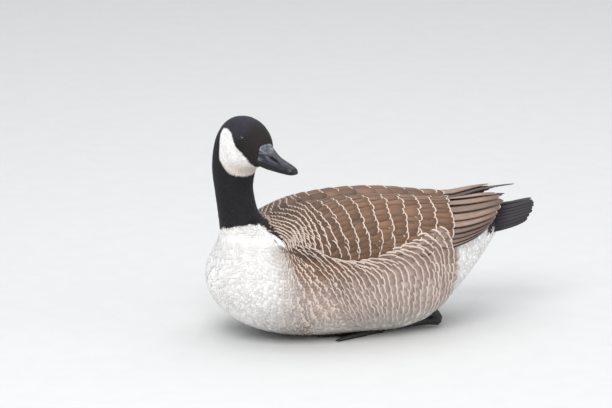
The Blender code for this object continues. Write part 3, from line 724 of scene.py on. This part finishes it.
def head_feathers(material):
    """The smallest feathers: bill base to collar, flat and close."""
    def spacing(s, _):
        return 0.0016 + 0.0009 * step(20.5, 17.5, s)

    def wanted(s, point):
        keep = (s > 14.6) * (s < LAST - 0.15)
        for side in SIDES:
            keep = keep * (np.linalg.norm(point - eye_spot(side), axis=1) > 0.0068)
        return keep * 1.0

    s, a, _, reach = scatter(spacing, wanted, 60000, 11)
    half = len(s) // 2
    order = np.argsort(s)
    for name, part in (("neck_coat", order[:half]), ("head_coat", order[half:])):
        coat = Coat()
        s_in, a_in, long = s[part], a[part], reach[part] * 3.0
        heading = flow(s_in, a_in)
        hue, _ = seen_markings(s_in, a_in, heading, long, 0.0018)
        lay(coat, flesh, s_in, a_in, heading, long, reach[part] * 0.72, (-0.0009, 0.0001), hue, 0.0,
            rows=4, thickness=0.00025)
        finish_piece(coat.mesh(name), material, "black_plumage")


def body_feathers(materials):
    """Breast, belly, mantle, back, rump and vent."""
    def spacing(s, point):
        x, _, z = point.T
        size = 0.0026 + 0.0022 * step(-0.17, -0.10, x) + 0.0008 * step(13.5, 10, s)
        return size + 0.0016 * step(0.06, 0.02, z)

    def wanted(s, point):
        x, y, z = point.T
        out = np.abs(y)
        under_wing = (x > -0.138) * (x < 0.125) * (z > flank_top(x) + 0.006) * (out > 0.026 * (x > -0.10))
        on_flank = (x > -0.098 - 0.5 * (z - 0.085)) * (x < 0.080) * (z > 0.016) * (z < flank_top(x) - 0.004)
        in_fan = (x > FAN[0] - 0.040) * (x < -0.090) * (z > 0.06) * (z < FAN[1]) * (out > 0.03)
        return (s > 0.05) * (s < 14.9) * (1 - under_wing) * (1 - on_flank) * (1 - in_fan) * 1.0

    s, a, p, reach = scatter(spacing, wanted, 90000, 23)
    turning = step(10.5, 11.8, s) * step(14.6, 13.8, s)
    names = ("rear_coat", "middle_coat", "breast_coat")
    for name, material, part in zip(names, materials, np.array_split(np.argsort(-p[:, 0]), 3)):
        coat = Coat()
        s_in, a_in = s[part], a[part]
        wobble = (RANDOM.random((len(part), 3)) - 0.5) * 0.22
        heading = flow(s_in, a_in) + wobble
        long = reach[part] * (3.0 - 0.8 * turning[part])
        hue, rim = seen_markings(s_in, a_in, heading, long, 0.004)
        lifts = -0.0024, 0.0001 - 0.0007 * turning[part]
        lay(coat, flesh, s_in, a_in, heading, long, reach[part] * 1.05, lifts, hue, rim,
            thickness=0.0002, camber=0.06, blunt=2.8, cell_size=0.004)
        finish_piece(coat.mesh(name), material, "pale_plumage")


def halved(low, high, short, tries):
    """Where short(...) turns from true to false, between low and high."""
    for _ in range(tries):
        middle = (low + high) / 2
        below = short(middle)
        low, high = np.where(below, middle, low), np.where(below, high, middle)
    return (low + high) / 2


def station_at(x, a):
    """The station where the body's surface at angle a reaches x."""
    return halved(np.zeros_like(x), np.full_like(x, 13.0), lambda s: flesh(s, a)[:, 0] > x, 26)


def angle_at(x, z):
    """The left side's angle on the body where the height is z."""
    def short(a):
        return flesh(station_at(x, a), a)[:, 2] < z
    return halved(np.full_like(x, -1.45), np.full_like(x, 1.2), short, 22)


def flank_row(x):
    """The line of one row's tips on the bird's side: up from the belly, then over forwards to x."""
    reach = np.interp(x, (-0.135, -0.090, 0.005, 0.070), (0.044, 0.052, 0.0525, 0.016))
    curved = np.interp(x, (-0.130, -0.030), (0.35, 1.0))
    turn = np.linspace(0, 1, 40)
    down = np.linspace(0.014, 0.085, 40, endpoint=False)
    over = np.cos(turn * math.pi / 2) * curved + (1 - turn) * (1 - curved)
    rise = np.sin(turn * math.pi / 2) * curved + turn * (1 - curved)
    xs = np.concatenate([x + reach + 0.8 * (1 - curved) * (0.085 - down), x + reach * over])
    return xs, np.concatenate([down, 0.085 + (flank_top(x) - 0.085) * rise])


def flank_tips():
    """Tip, heading and size of each flank feather, in the side view."""
    x, found = -0.136, []
    while x < 0.078:
        size = np.interp(x, (-0.136, -0.060), (0.62, 1.0))
        xs, zs = flank_row(x)
        run = np.concatenate([[0], np.cumsum(np.hypot(np.diff(xs), np.diff(zs)))])
        stops = np.arange(0.010 * size * RANDOM.random(), run[-1], 0.0112 * size)
        rows = [np.interp(stops, run, q) for q in (xs, zs, np.gradient(zs, run), -np.gradient(xs, run))]
        found.append(np.stack([*rows, np.full(len(stops), size)], 1))
        x += 0.0094 * size * (1 + 0.6 * step(-0.005, 0.030, x))
    return np.concatenate(found)


def flank_feathers(material, side):
    """Rows of broad feathers down the flank, their pale tips drawing one line a row."""
    coat = Coat()
    found = flank_tips()
    size = found[:, 4]
    way = unit(unit(found[:, 2:4]) + (RANDOM.random((len(found), 2)) - 0.5) * 0.14)
    tips = found[:, :2] + way * (RANDOM.random((len(found), 1)) - 0.5) * 0.0034
    long = 0.031 * size
    roots = tips - way * long[:, None]
    keep = (roots[:, 1] > 0.008) & (tips[:, 0] < 0.094) & (roots[:, 0] > -0.165)
    roots, tips, way, long, size = (column[keep] for column in (roots, tips, way, long, size))
    n = len(roots)
    a, tip_a = (angle_at(*places.T) for places in (roots, tips))
    s, tip_s = station_at(roots[:, 0], a), station_at(tips[:, 0], tip_a)
    heading = np.stack([way[:, 0], np.zeros(n), way[:, 1]], 1)
    hue, rim = seen_markings(s, a, heading, long, 0.004)
    rim = np.maximum(rim, 0.4) * (0.65 + 0.5 * RANDOM.random(n))
    lay(coat, flank, s, a, heading, long, 0.0118 * size, (-0.0020, 0.0012), hue, rim, rows=9,
        cols=7, thickness=0.0005, camber=0.10, roll=-0.04, blunt=3.4, cell_size=0.010, tips=(tip_s, tip_a))
    finish_piece(coat.mesh(f"flank_{SIDES[side]}", side), material, "brown_plumage")


FAN = (-0.1440, 0.134)
FAN_STEP = 3.8


def streaks(material, side):
    """Fine feathers fanned below the shoulder, their edges drawing streaks that part from one point."""
    coat = Coat()
    turns = np.radians(np.arange(184, 300, FAN_STEP))
    n = len(turns)
    x, z = np.full(n, FAN[0]), np.full(n, FAN[1])
    a = angle_at(x, z)
    s = station_at(x, a)
    way = np.stack([np.cos(turns), 0 * turns, np.sin(turns)], 1)
    gap = 0.0050
    for k in range(24):
        step_s, step_a = march(flesh, s, a, way, gap)
        s, a = s + step_s, a + step_a
        _, tu, tv, normal = frame_of(flesh, s, a)
        ray = unit(tu * step_s[:, None] + tv * step_a[:, None])
        way = unit(way * 0.6 + ray * 0.4)
        heading = unit(np.cross(normal, ray) + ray * (0.25 + 0.2 * (RANDOM.random((n, 1)) - 0.5)))
        apart = math.radians(FAN_STEP) * gap * (k + 1)
        usual = 0.0045 + 2.4 * apart
        long = usual * (0.9 + 0.2 * RANDOM.random(n))
        off_s, off_a = march(flesh, s, a, heading, apart * 0.9 * (RANDOM.random(n) - 0.5))
        tip_s, tip_a = s + off_s, a + off_a
        back_s, back_a = march(flesh, tip_s, tip_a, -heading, long)
        root_s, root_a = tip_s + back_s, tip_a + back_a
        off_neck = flesh(root_s, root_a)[:, 2] < 0.146
        root_s, root_a, tip_s, tip_a, long, heading = (
            column[off_neck] for column in (root_s, root_a, tip_s, tip_a, long, heading)
        )
        _, rim = markings(tip_s, tip_a)
        hue, _ = seen_markings(root_s, root_a, heading, long, 0.006)
        width = min(1.0, 0.5 * apart / (0.165 * usual)) * (0.5 + RANDOM.random(len(rim)))
        lay(coat, flesh, root_s, root_a, heading, long, 0.0040, (-0.0014, 0.0001 + 0.0004 * rim), hue,
            rim * width, rows=5, thickness=0.0002, camber=0.06, blunt=3.0, tips=(tip_s, tip_a))
    finish_piece(coat.mesh(f"fan_{SIDES[side]}", side), material, "pale_plumage")


COVERT_ROWS = (
    -0.1474, -0.1452, -0.1429, -0.1405, -0.1380, -0.1353, -0.1324, -0.1293, -0.1259, -0.1221, -0.1179,
    -0.1131, -0.1074, -0.1007, -0.0925, -0.0820, -0.0690, -0.0535, -0.0375, -0.0200, -0.0015, 0.0180,
    0.0380, 0.0600, 0.0870,
)
# Long feathers of the wing: degrees up from its lower edge, where the tip lies, half width
STRIPS = (
    (4, 0.146, 0.0062), (10, 0.151, 0.0064), (17, 0.156, 0.0066), (24.5, 0.161, 0.0070), (33, 0.167, 0.0074),
    (43, 0.173, 0.0078), (54, 0.177, 0.0082), (66, 0.178, 0.0082), (78, 0.172, 0.0078),
)


def neck_edge(angle):
    """Where the neck's black, and below the collar the black strip of painted shadow, ends on the wing and
    shoulder.
    """
    corners = (0, 11, 30, 45, 73, 94), (-0.143, -0.143, -0.145, -0.149, -0.149, -0.143)
    return np.interp(np.degrees(angle), *corners)


def covert_line(x, angle):
    """Where a row's tips lie, at each angle up the wing: the first rows lean to the neck."""
    past = np.degrees(angle) - 32 - 1390 * (x + 0.130)
    lean = 0.0007 * np.log1p(np.exp(np.clip(past / 4, -30, 30))) * 4 * step(-0.085, -0.100, x)
    return x - lean + np.interp(x, (-0.110, -0.08, 0.03), (0, -0.012, 0.020)) * (angle - 0.5)


def wing_coverts(material, side, lift):
    """Mantle feathers, scapulars and coverts in rows, each longer than the row before it."""
    coat = Coat()
    found = []
    for row_x in COVERT_ROWS:
        size = np.interp(row_x, (-0.147, -0.110, -0.060, 0.030), (0.0, 0.22, 0.6, 1.0))
        gap = (0.0050 + 0.0105 * size) / 0.115
        angle = np.arange(0.02 + gap * RANDOM.random(), math.radians(88.5), gap)
        tip = covert_line(row_x, angle)
        rise = covert_line(row_x, angle + 0.01) - covert_line(row_x, angle - 0.01)
        turn = -np.arctan(rise / (0.02 * 0.085))
        found.append(np.stack([tip, angle, np.full(len(angle), size), turn], 1)[tip > -0.152])
    tip, angle, size, turn = np.concatenate(found).T
    usual = blend(0.008, 0.046, size)
    behind_neck = tip - usual * np.cos(turn) > neck_edge(angle) - 0.0085
    tip, angle, size, turn, usual = (column[behind_neck] for column in (tip, angle, size, turn, usual))
    n = len(tip)
    tip = tip + (RANDOM.random(n) - 0.5) * blend(0.001, 0.006, size)
    long = usual * (0.95 + 0.1 * RANDOM.random(n))
    turn = turn + 0.20 * (1 - size) + (RANDOM.random(n) - 0.5) * 0.12
    over_top = np.maximum(step(86.5, 79, np.degrees(angle)), step(-0.09, -0.11, tip))
    brown = blend(MANTLE, WING, size[:, None]) * (0.76 + 0.48 * RANDOM.random((n, 1)))

    def paint(x, angle):
        """Brown up to the neck's black; below the collar a black strip of painted shadow between the brown
        and the white breast narrows to a point.
        """
        ahead = neck_edge(angle) - x
        x, y, z = cape(x, angle).T
        under = step(0.001, -0.001, over_collar(x, -side * y, z))
        # Below the collar, white begins only past a black strip of painted shadow beside the brown
        white = step(-0.0005, 0.0005, ahead - 0.0075 * step(0.15, 0.9, angle)) * under
        return painted(brown, (BLACK, step(-0.0005, 0.0005, ahead)), (WHITE, white))

    heading = np.stack([np.cos(turn), np.zeros(n), np.sin(turn)], 1)
    back_x, back_a = march(cape, tip, angle, -heading, long)
    rim = (1.0 + 2.4 * (1 - size) ** 3) * over_top
    lay(coat, cape, tip + back_x, angle + back_a, heading, long, blend(0.0042, 0.0125, size),
        (-0.0012, 0.0012), paint, rim, rows=10, cols=7, camber=0.06, roll=0.03, root=0.7, blunt=3.0,
        cell_size=0.030, cell=grid_cells(n, 32))
    finish_piece(lifted(coat, lift).mesh(f"coverts_{SIDES[side]}", side), material, "brown_plumage")


def wing_quills(material, side, reach, lift):
    """The long feathers behind the coverts: tertials and secondaries, then the primaries' points."""
    coat = Coat()
    angle, tip, half = np.array(STRIPS).T
    n = len(STRIPS)
    tip = tip + (RANDOM.random(n) - 0.5) * 0.007
    start = np.full(n, 0.062)
    hue = np.broadcast_to(QUILL, (n, 3)) * (0.72 + 0.5 * RANDOM.random((n, 1)))
    lay(coat, cape, start, np.radians(angle), np.tile(REARWARD, (n, 1)), tip - start, half,
        (-0.0018, 0.0006), hue, 0.5, rows=14, cols=7, thickness=0.0006, camber=0.08, roll=0.16, root=0.85,
        blunt=2.6, cell_size=0.09, cell=grid_cells(n, 10))
    n = 7
    rank = np.arange(n)
    angle = np.radians(46 + 6.5 * rank)
    start = np.full(n, 0.090)
    tip = reach - 0.0050 * (n - 1 - rank)
    lay(coat, cape, start, angle, np.tile(REARWARD, (n, 1)), tip - start, 0.0062, (-0.0050, -0.0022),
        PRIMARY, 0.1, rows=12, cols=5, thickness=0.0006, camber=0.08, roll=0.10, root=0.9, blunt=2.6,
        cell_size=0.09, cell=grid_cells(n, 10, 2))
    piece = lifted(coat, lift).mesh(f"quills_{SIDES[side]}", side)
    finish_piece(piece, material, "brown_plumage", f"wing_{SIDES[side]}")


def lifted(coat, lift):
    """Raises a wing's tip, as far back as it lies over the tail."""
    for points in coat.points:
        points[:, 2] += lift * np.maximum(0, (points[:, 0] - 0.12) / 0.08)
        points[:, 1] = np.minimum(points[:, 1], -0.0002)
    return coat


def grid_cells(n, across, first_row=0):
    """A place of its own on the map for each of n large feathers."""
    k = np.arange(n)
    return (np.stack([k % across, k // across + first_row], 1) + 0.5) / across


# Tail coverts above and below: how many, rows, shuffle, first root, row gap, spread, length, half width,
# heights at root and tip, rise, place on the map
TAIL_COVERTS = (
    (46, 4, 17, 0.122, 0.008, 0.525, 0.026, 0.0060, (0.0024, 0.0040), 0.05, 0.6),
    (60, 5, 23, 0.118, 0.006, 0.570, 0.020, 0.0062, (-0.0120, -0.0040), 0.0, 0.2),
)


def make_tail(material, pale):
    """Fourteen dark quills, roofed at the root, with white coverts above and below."""
    quills, root_x, tip_x, roll = 14, 0.148, 0.228, math.radians(4)

    def sheet(u, v):
        """The tail's own surface: u along, v from its left edge (-1) to its right (1)."""
        t = (u - root_x) / (tip_x - root_x)
        y = v * (0.0235 - 0.0025 * t)
        drop = np.abs(v) ** 1.3
        z = 0.1410 + 0.0065 * t - 0.0175 * drop * (1 - 0.80 * t) - 0.0012 * np.abs(v)
        return np.stack([u, y, z + y * math.tan(roll)], -1)

    coat = Coat()
    v = np.linspace(-1, 1, quills)
    order = np.argsort(-np.abs(v))
    v = v[order]
    start = np.full(quills, root_x - 0.004)
    shorter = np.where(v < 0, 0.019, 0.010) * v * v
    reach = tip_x - root_x + 0.005 - shorter - 0.002 * RANDOM.random(quills)
    hue = np.broadcast_to(TAIL, (quills, 3)) * (0.85 + 0.3 * RANDOM.random((quills, 1)))
    layer = 0.0016 * (1 - np.abs(v))
    lay(coat, sheet, start, v, np.tile(REARWARD, (quills, 1)), reach, 0.0080, (layer, layer + 0.0004), hue,
        0.12, rows=12, cols=5, thickness=0.0006, camber=0.05, roll=-0.12 * np.sign(v), root=0.8, blunt=3.0,
        cell_size=0.1, cell=grid_cells(quills, 10))
    finish_piece(coat.mesh("tail_quills"), material, "tail_quills", "tail")
    coat = Coat()
    for n, rows, shuffle, first, gap, spread, long, half, lifts, rise, low in TAIL_COVERTS:
        k = np.arange(n)
        place = np.linspace(-spread, spread, n)[np.argsort((k * shuffle) % n)]
        cell = np.stack([0.2 + 0.3 * RANDOM.random(n), low + 0.3 * RANDOM.random(n)], 1)
        lay(coat, sheet, first + gap * (k % rows), place, np.tile((1.0, 0.0, rise), (n, 1)), long, half,
            lifts, WHITE, 0.0, rows=7, cols=5, cell_size=0.004, cell=cell)
    finish_piece(coat.mesh("tail_coverts"), pale, "pale_plumage")


# Bill, eyes and feet

UPPER_BILL = np.array([
    (-0.0060, 0.2636, 0.2425, 0.0138, 4.6),
    (0.0000, 0.2641, 0.2412, 0.0140, 4.2),
    (0.0060, 0.2610, 0.2396, 0.0133, 3.3),
    (0.0150, 0.2551, 0.2380, 0.0121, 2.6),
    (0.0250, 0.2498, 0.2366, 0.0111, 2.25),
    (0.0350, 0.2460, 0.2352, 0.0103, 2.1),
    (0.0430, 0.2432, 0.2340, 0.0096, 2.1),
    (0.0485, 0.2408, 0.2330, 0.0083, 2.2),
    (0.0515, 0.2390, 0.2322, 0.0062, 2.3),
    (0.0530, 0.2370, 0.2318, 0.0036, 2.3),
])
LOWER_BILL = np.array([
    (-0.0051, 0.2418, 0.2338, 0.0116),
    (0.0000, 0.2407, 0.2328, 0.0116),
    (0.0060, 0.2391, 0.2318, 0.0112),
    (0.0150, 0.2375, 0.2310, 0.0102),
    (0.0250, 0.2361, 0.2303, 0.0091),
    (0.0350, 0.2347, 0.2299, 0.0081),
    (0.0430, 0.2335, 0.2298, 0.0068),
    (0.0475, 0.2327, 0.2301, 0.0049),
    (0.0495, 0.2322, 0.2305, 0.0028),
])
BILL_X = -0.2438
BILL_LEVEL = 0.24
# The nostril's slot: its middle along the bill, its height there, and its fall towards the tip
SLOT_X = 0.0205
SLOT_Z = 0.2478
SLOT_FALL = 0.42


def bill_half(name, table, upward, material, node):
    """One half of the bill, with the nostril's slot and groove pressed into the upper one."""
    along = np.linspace(table[0, 0], table[-1, 0], 130)
    rows = spline(table[:, 0], table, along)
    around = 64
    rings = []
    for row in rows:
        ahead, ridge, edge, half = row[:4]
        power = 2 / (row[4] if upward else 2.0)
        flat, peak = (edge, ridge) if upward else (ridge, edge)
        angle = math.pi * np.linspace(0, 1, around * 3 // 4)
        y = -np.sign(np.cos(angle)) * np.abs(np.cos(angle)) ** power * half
        z = flat + (peak - flat) * np.sin(angle) ** power
        z[[0, -1]] = flat
        under = np.linspace(1, -1, around // 4 + 2)[1:-1]
        y = np.concatenate([y, under * half])
        z = np.concatenate([z, np.full(len(under), flat)])
        rings.append(np.stack([np.full(len(y), BILL_X - ahead), y, z], 1))
    grid = np.stack(rings)
    if upward:
        x, y, z = grid[..., 0], grid[..., 1], grid[..., 2]
        ahead = BILL_X - x
        slope = SLOT_Z - SLOT_FALL * (ahead - SLOT_X)
        across, off = (ahead - SLOT_X) / 0.0072, (z - slope) / 0.0017
        slot = np.exp(-np.maximum(0, across**2 + off**2 - 0.25) * 1.6) * (np.abs(y) > 0.002)
        wide = np.exp(-(((ahead - 0.019) / 0.0125) ** 2 + ((z - slope) / 0.0042) ** 2)) * (np.abs(y) > 0.002)
        y -= np.sign(y) * (0.0040 * slot + 0.0010 * wide)
    points, quads = tube(grid.reshape(-1, 3), len(along), inward=not upward)
    piece = build(name, turned(points), quads, None, (points - (BILL_X, 0, BILL_LEVEL)) * (-1, 1, 1))
    finish_piece(piece, material, "bill_horn", node)


def bill_material():
    """Satin blue-black horn with a dark nail: paler over the top and ridge and flecked pale by the base as
    painted highlights, black in the slot as painted shade, black along the mouth and below it as the lower
    mandible's dark with painted shadow.
    """
    b = Board("bill_horn_satin", 0.34, Specular_IOR_Level=0.36)
    x, y, z = b.parts(b.read("vane"))
    place = b.place()
    fine = b.noise(place, 700.0, 4.0, 0.6)
    soft = b.noise(place, 120.0, 3.0)
    flake = b.noise(b.join(x * 90.0, y * 300.0, z * 300.0), 1.0, 3.0)
    tone = 0.55 + soft * 0.7 + flake.smooth(0.45, 0.75) * 0.7 + fine * 0.15
    colour = b.shaded(HORN, tone)
    # Paler towards the top: painted light on the bill's top
    colour = b.mix(z.smooth(0.009, 0.020) * 0.5, colour, (0.060, 0.068, 0.088))
    # Pale flecks by the base and over the ridge: painted highlights and glints
    wear_and_glints = flake.smooth(0.45, 0.62)
    colour = b.mix(x.smooth(0.014, 0.001) * wear_and_glints * 0.8, colour, (0.16, 0.18, 0.22))
    colour = b.mix(z.smooth(0.012, 0.018) * wear_and_glints * 0.7, colour, (0.22, 0.24, 0.29))
    colour = b.mix(x.smooth(0.037, 0.043) * 0.8, colour, (0.012, 0.011, 0.013))
    # Near-black in the nostril's slot: painted shade in the hollow
    across = (x - SLOT_X) / 0.0062
    off = (z - (SLOT_Z - BILL_LEVEL) + (x - SLOT_X) * SLOT_FALL) / 0.0015
    colour = b.mix((across * across + off * off).smooth(1.2, 0.5), colour, (0.003, 0.003, 0.004))
    # Black along the mouth and below it: the lower mandible's own dark, with painted shadow under the upper
    # bill
    level = z + x * 0.165 - 0.0010
    lip = 0.0052 - x * 0.050
    colour = b.mix((level / lip).smooth(1.0, 0.6), colour, (0.008, 0.008, 0.009))
    rough = 0.20 + soft * 0.22 + fine * 0.08
    return b.finish(colour, rough, soft * 0.6 + flake * 0.6 + fine * 0.4, 0.35, 0.0006)


def make_eye(side, material):
    """A round wet eye, with the pupil drawn about its own axis."""
    centre = eye_spot(side)
    axis = turned(np.array([EYE[0], side * (EYE[1] + 1), EYE[2]])) - centre
    rings, around = 40, 64
    polar = np.linspace(0, math.pi, rings)
    turn = np.linspace(0, 2 * math.pi, around, endpoint=False)
    ref = unit(np.cross(axis, (0, 0, 1.0)))
    up = np.cross(ref, axis)
    p, t = np.meshgrid(polar, turn, indexing="ij")
    bulge = 1 + 0.03 * np.exp(-((p / 0.6) ** 2))
    shares = EYE_RADIUS * np.cos(p), EYE_WIDE * np.sin(p) * np.cos(t), EYE_HIGH * np.sin(p) * np.sin(t)
    points = centre + (bulge * np.stack(shares)).transpose(1, 2, 0) @ np.stack([axis, ref, up])
    points, quads = tube(points.reshape(-1, 3), rings, capped=False)
    spots = np.stack([p / math.pi, t / 6.3, 0 * p], -1).reshape(-1, 3)
    piece = build(f"eyeball_{SIDES[side]}", points, quads, None, spots)
    finish_piece(piece, material, "eye", f"eye_{SIDES[side]}")


def eye_material():
    """Dark brown iris round a black pupil, under a wet surface."""
    b = Board("eye_wet", 0.06, Specular_IOR_Level=0.55)
    out, turn, _ = b.parts(b.read("vane"))
    rays = b.noise(b.join(out * 6.0, turn * 60.0, 0.0), 1.0, 3.0)
    iris = b.mix(rays, (0.005, 0.0035, 0.003), (0.014, 0.008, 0.005))
    return b.finish(b.mix(out.smooth(0.17, 0.15), iris, (0.003, 0.003, 0.003)))


def lid(side, material):
    """The bare rim of skin round an eye, thicker above."""
    around, thick = 72, 16
    t = np.linspace(0, 2 * math.pi, around, endpoint=False)
    b = np.linspace(0, 2 * math.pi, thick, endpoint=False)
    t, b = np.meshgrid(t, b, indexing="ij")
    minor = 0.0007 + 0.0004 * np.sin(t).clip(0, 1)
    x = EYE[0] + (0.92 * EYE_WIDE + minor * np.cos(b)) * np.cos(t)
    z = EYE[2] + (0.92 * EYE_HIGH + minor * np.cos(b)) * np.sin(t)
    y = side * (EYE[1] + 0.42 * EYE_RADIUS + minor * np.sin(b))
    points = turned(np.stack([x, y, z], -1).reshape(-1, 3))
    index = np.arange(around * thick).reshape(around, thick)
    after, over = np.roll(index, -1, axis=0), np.roll(index, -1, axis=1)
    quads = np.stack([index, over, np.roll(after, -1, axis=1), after], -1).reshape(-1, 4)
    if side < 0:
        quads = quads[:, ::-1]
    # The lids take the crown colour, the black lightened by its painted sheen
    hue = np.broadcast_to(CROWN_SHEEN, (len(points), 3))
    finish_piece(build(f"lid_{SIDES[side]}", points, quads, hue), material, "black_plumage")


def foot_material():
    """Black webbed skin in small scales."""
    b = Board("foot_scales", 0.5, Specular_IOR_Level=0.4)
    cells = b.node("ShaderNodeTexVoronoi", None, {"Vector": b.place(), "Scale": 420.0})
    tone = cells.smooth(0.0, 0.6)
    colour = b.mix(tone, (0.040, 0.038, 0.036), (0.016, 0.015, 0.015))
    return b.finish(colour, 0.42 + tone * 0.2, 1 - tone, 0.4, 0.0005)


# Camera, floor and light

def aim(obj, target):
    way = Vector(target) - obj.location
    obj.rotation_euler = way.to_track_quat("-Z", "Y").to_euler()


def set_stage():
    floor_mesh = bpy.data.meshes.new("floor")
    reach = 6.0
    corners = [(-reach, -reach, 0), (reach, -reach, 0), (reach, reach, 0), (-reach, reach, 0)]
    floor_mesh.from_pydata(corners, [], [(0, 1, 2, 3)])
    floor = placed("floor", floor_mesh)
    b = Board("floor_pale", 0.9)
    grain = b.noise(b.place(), 30.0, 3.0)
    floor_mesh.materials.append(b.finish(b.mix(grain, (0.60, 0.60, 0.59), (0.64, 0.64, 0.63))))

    azimuth, elevation, distance, frame_width = math.radians(-20), math.radians(14), 8.0, 0.7958
    level = math.cos(elevation)
    back = Vector((math.sin(azimuth) * level, -math.cos(azimuth) * level, math.sin(elevation)))
    target = Vector((-0.0889, 0.0, 0.1684)) + Vector(SHIFT)
    lens = bpy.data.cameras.new("camera")
    lens.sensor_width = 36.0
    lens.lens = 36.0 * distance / frame_width
    lens.clip_end = 100.0
    camera = placed("camera", lens, target + back * distance)
    aim(camera, target)
    bpy.context.scene.camera = camera

    for name, spot, size, power in (
        ("key", (-1.2, -1.6, 2.4), 1.8, 56.0),
        ("top", (0.4, 0.6, 2.6), 2.4, 32.0),
        ("fill", (2.2, -1.8, 0.9), 1.6, 16.0),
    ):
        light = bpy.data.lights.new(name, "AREA")
        light.size = size
        light.energy = power
        aim(placed(name, light, spot), (0, 0, 0.12))
    world = bpy.data.worlds.new("studio")
    world.use_nodes = True
    sky = world.node_tree.nodes["Background"].inputs
    sky["Color"].default_value = (0.92, 0.95, 1.0, 1)
    sky["Strength"].default_value = 0.75
    bpy.context.scene.world = world
    bpy.context.scene.view_settings.view_transform = "Standard"


def main():
    vane = vane_material("feather_vane", 3.0, 0.065)
    broad = vane_material("feather_side", 3.4, 0.12, 18.0, 1.2)
    fine = vane_material("feather_fine", 2.8, 0.20, 12.0, 0.8)
    white = vane_material("feather_white", 2.8, 0.20, 12.0, 0.22)
    streak = vane_material("feather_streak", 3.0, 0.30, 12.0, 0.7)
    # The long feathers carry a near-black band along one side: painted shadow between them
    long = vane_material("feather_long", 2.6, 0.03, 60.0, 1.3, 0.38)
    tail = vane_material("feather_tail", 3.0, 0.03, 60.0)
    make_skin()
    head_feathers(fine)
    body_feathers((fine, fine, white))
    for side in SIDES:
        flank_feathers(broad, side)
        streaks(streak, side)
    for side, reach, lift in ((-1, 0.188, 0.0), (1, 0.204, 0.012)):
        wing_coverts(vane, side, lift)
        wing_quills(long, side, reach, lift)
    make_tail(tail, white)
    horn = bill_material()
    bill_half("bill_top", UPPER_BILL, True, horn, "bill_upper")
    bill_half("bill_under", LOWER_BILL, False, horn, "bill_lower")
    wet = eye_material()
    lids = down_material("lid_skin")
    for side in SIDES:
        make_eye(side, wet)
        lid(side, lids)
    scales = foot_material()
    for name in ("foot_left", "foot_right", "leg_left", "leg_right"):
        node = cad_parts[name]
        for slot in node.material_slots:
            slot.material = scales
    set_stage()


main()
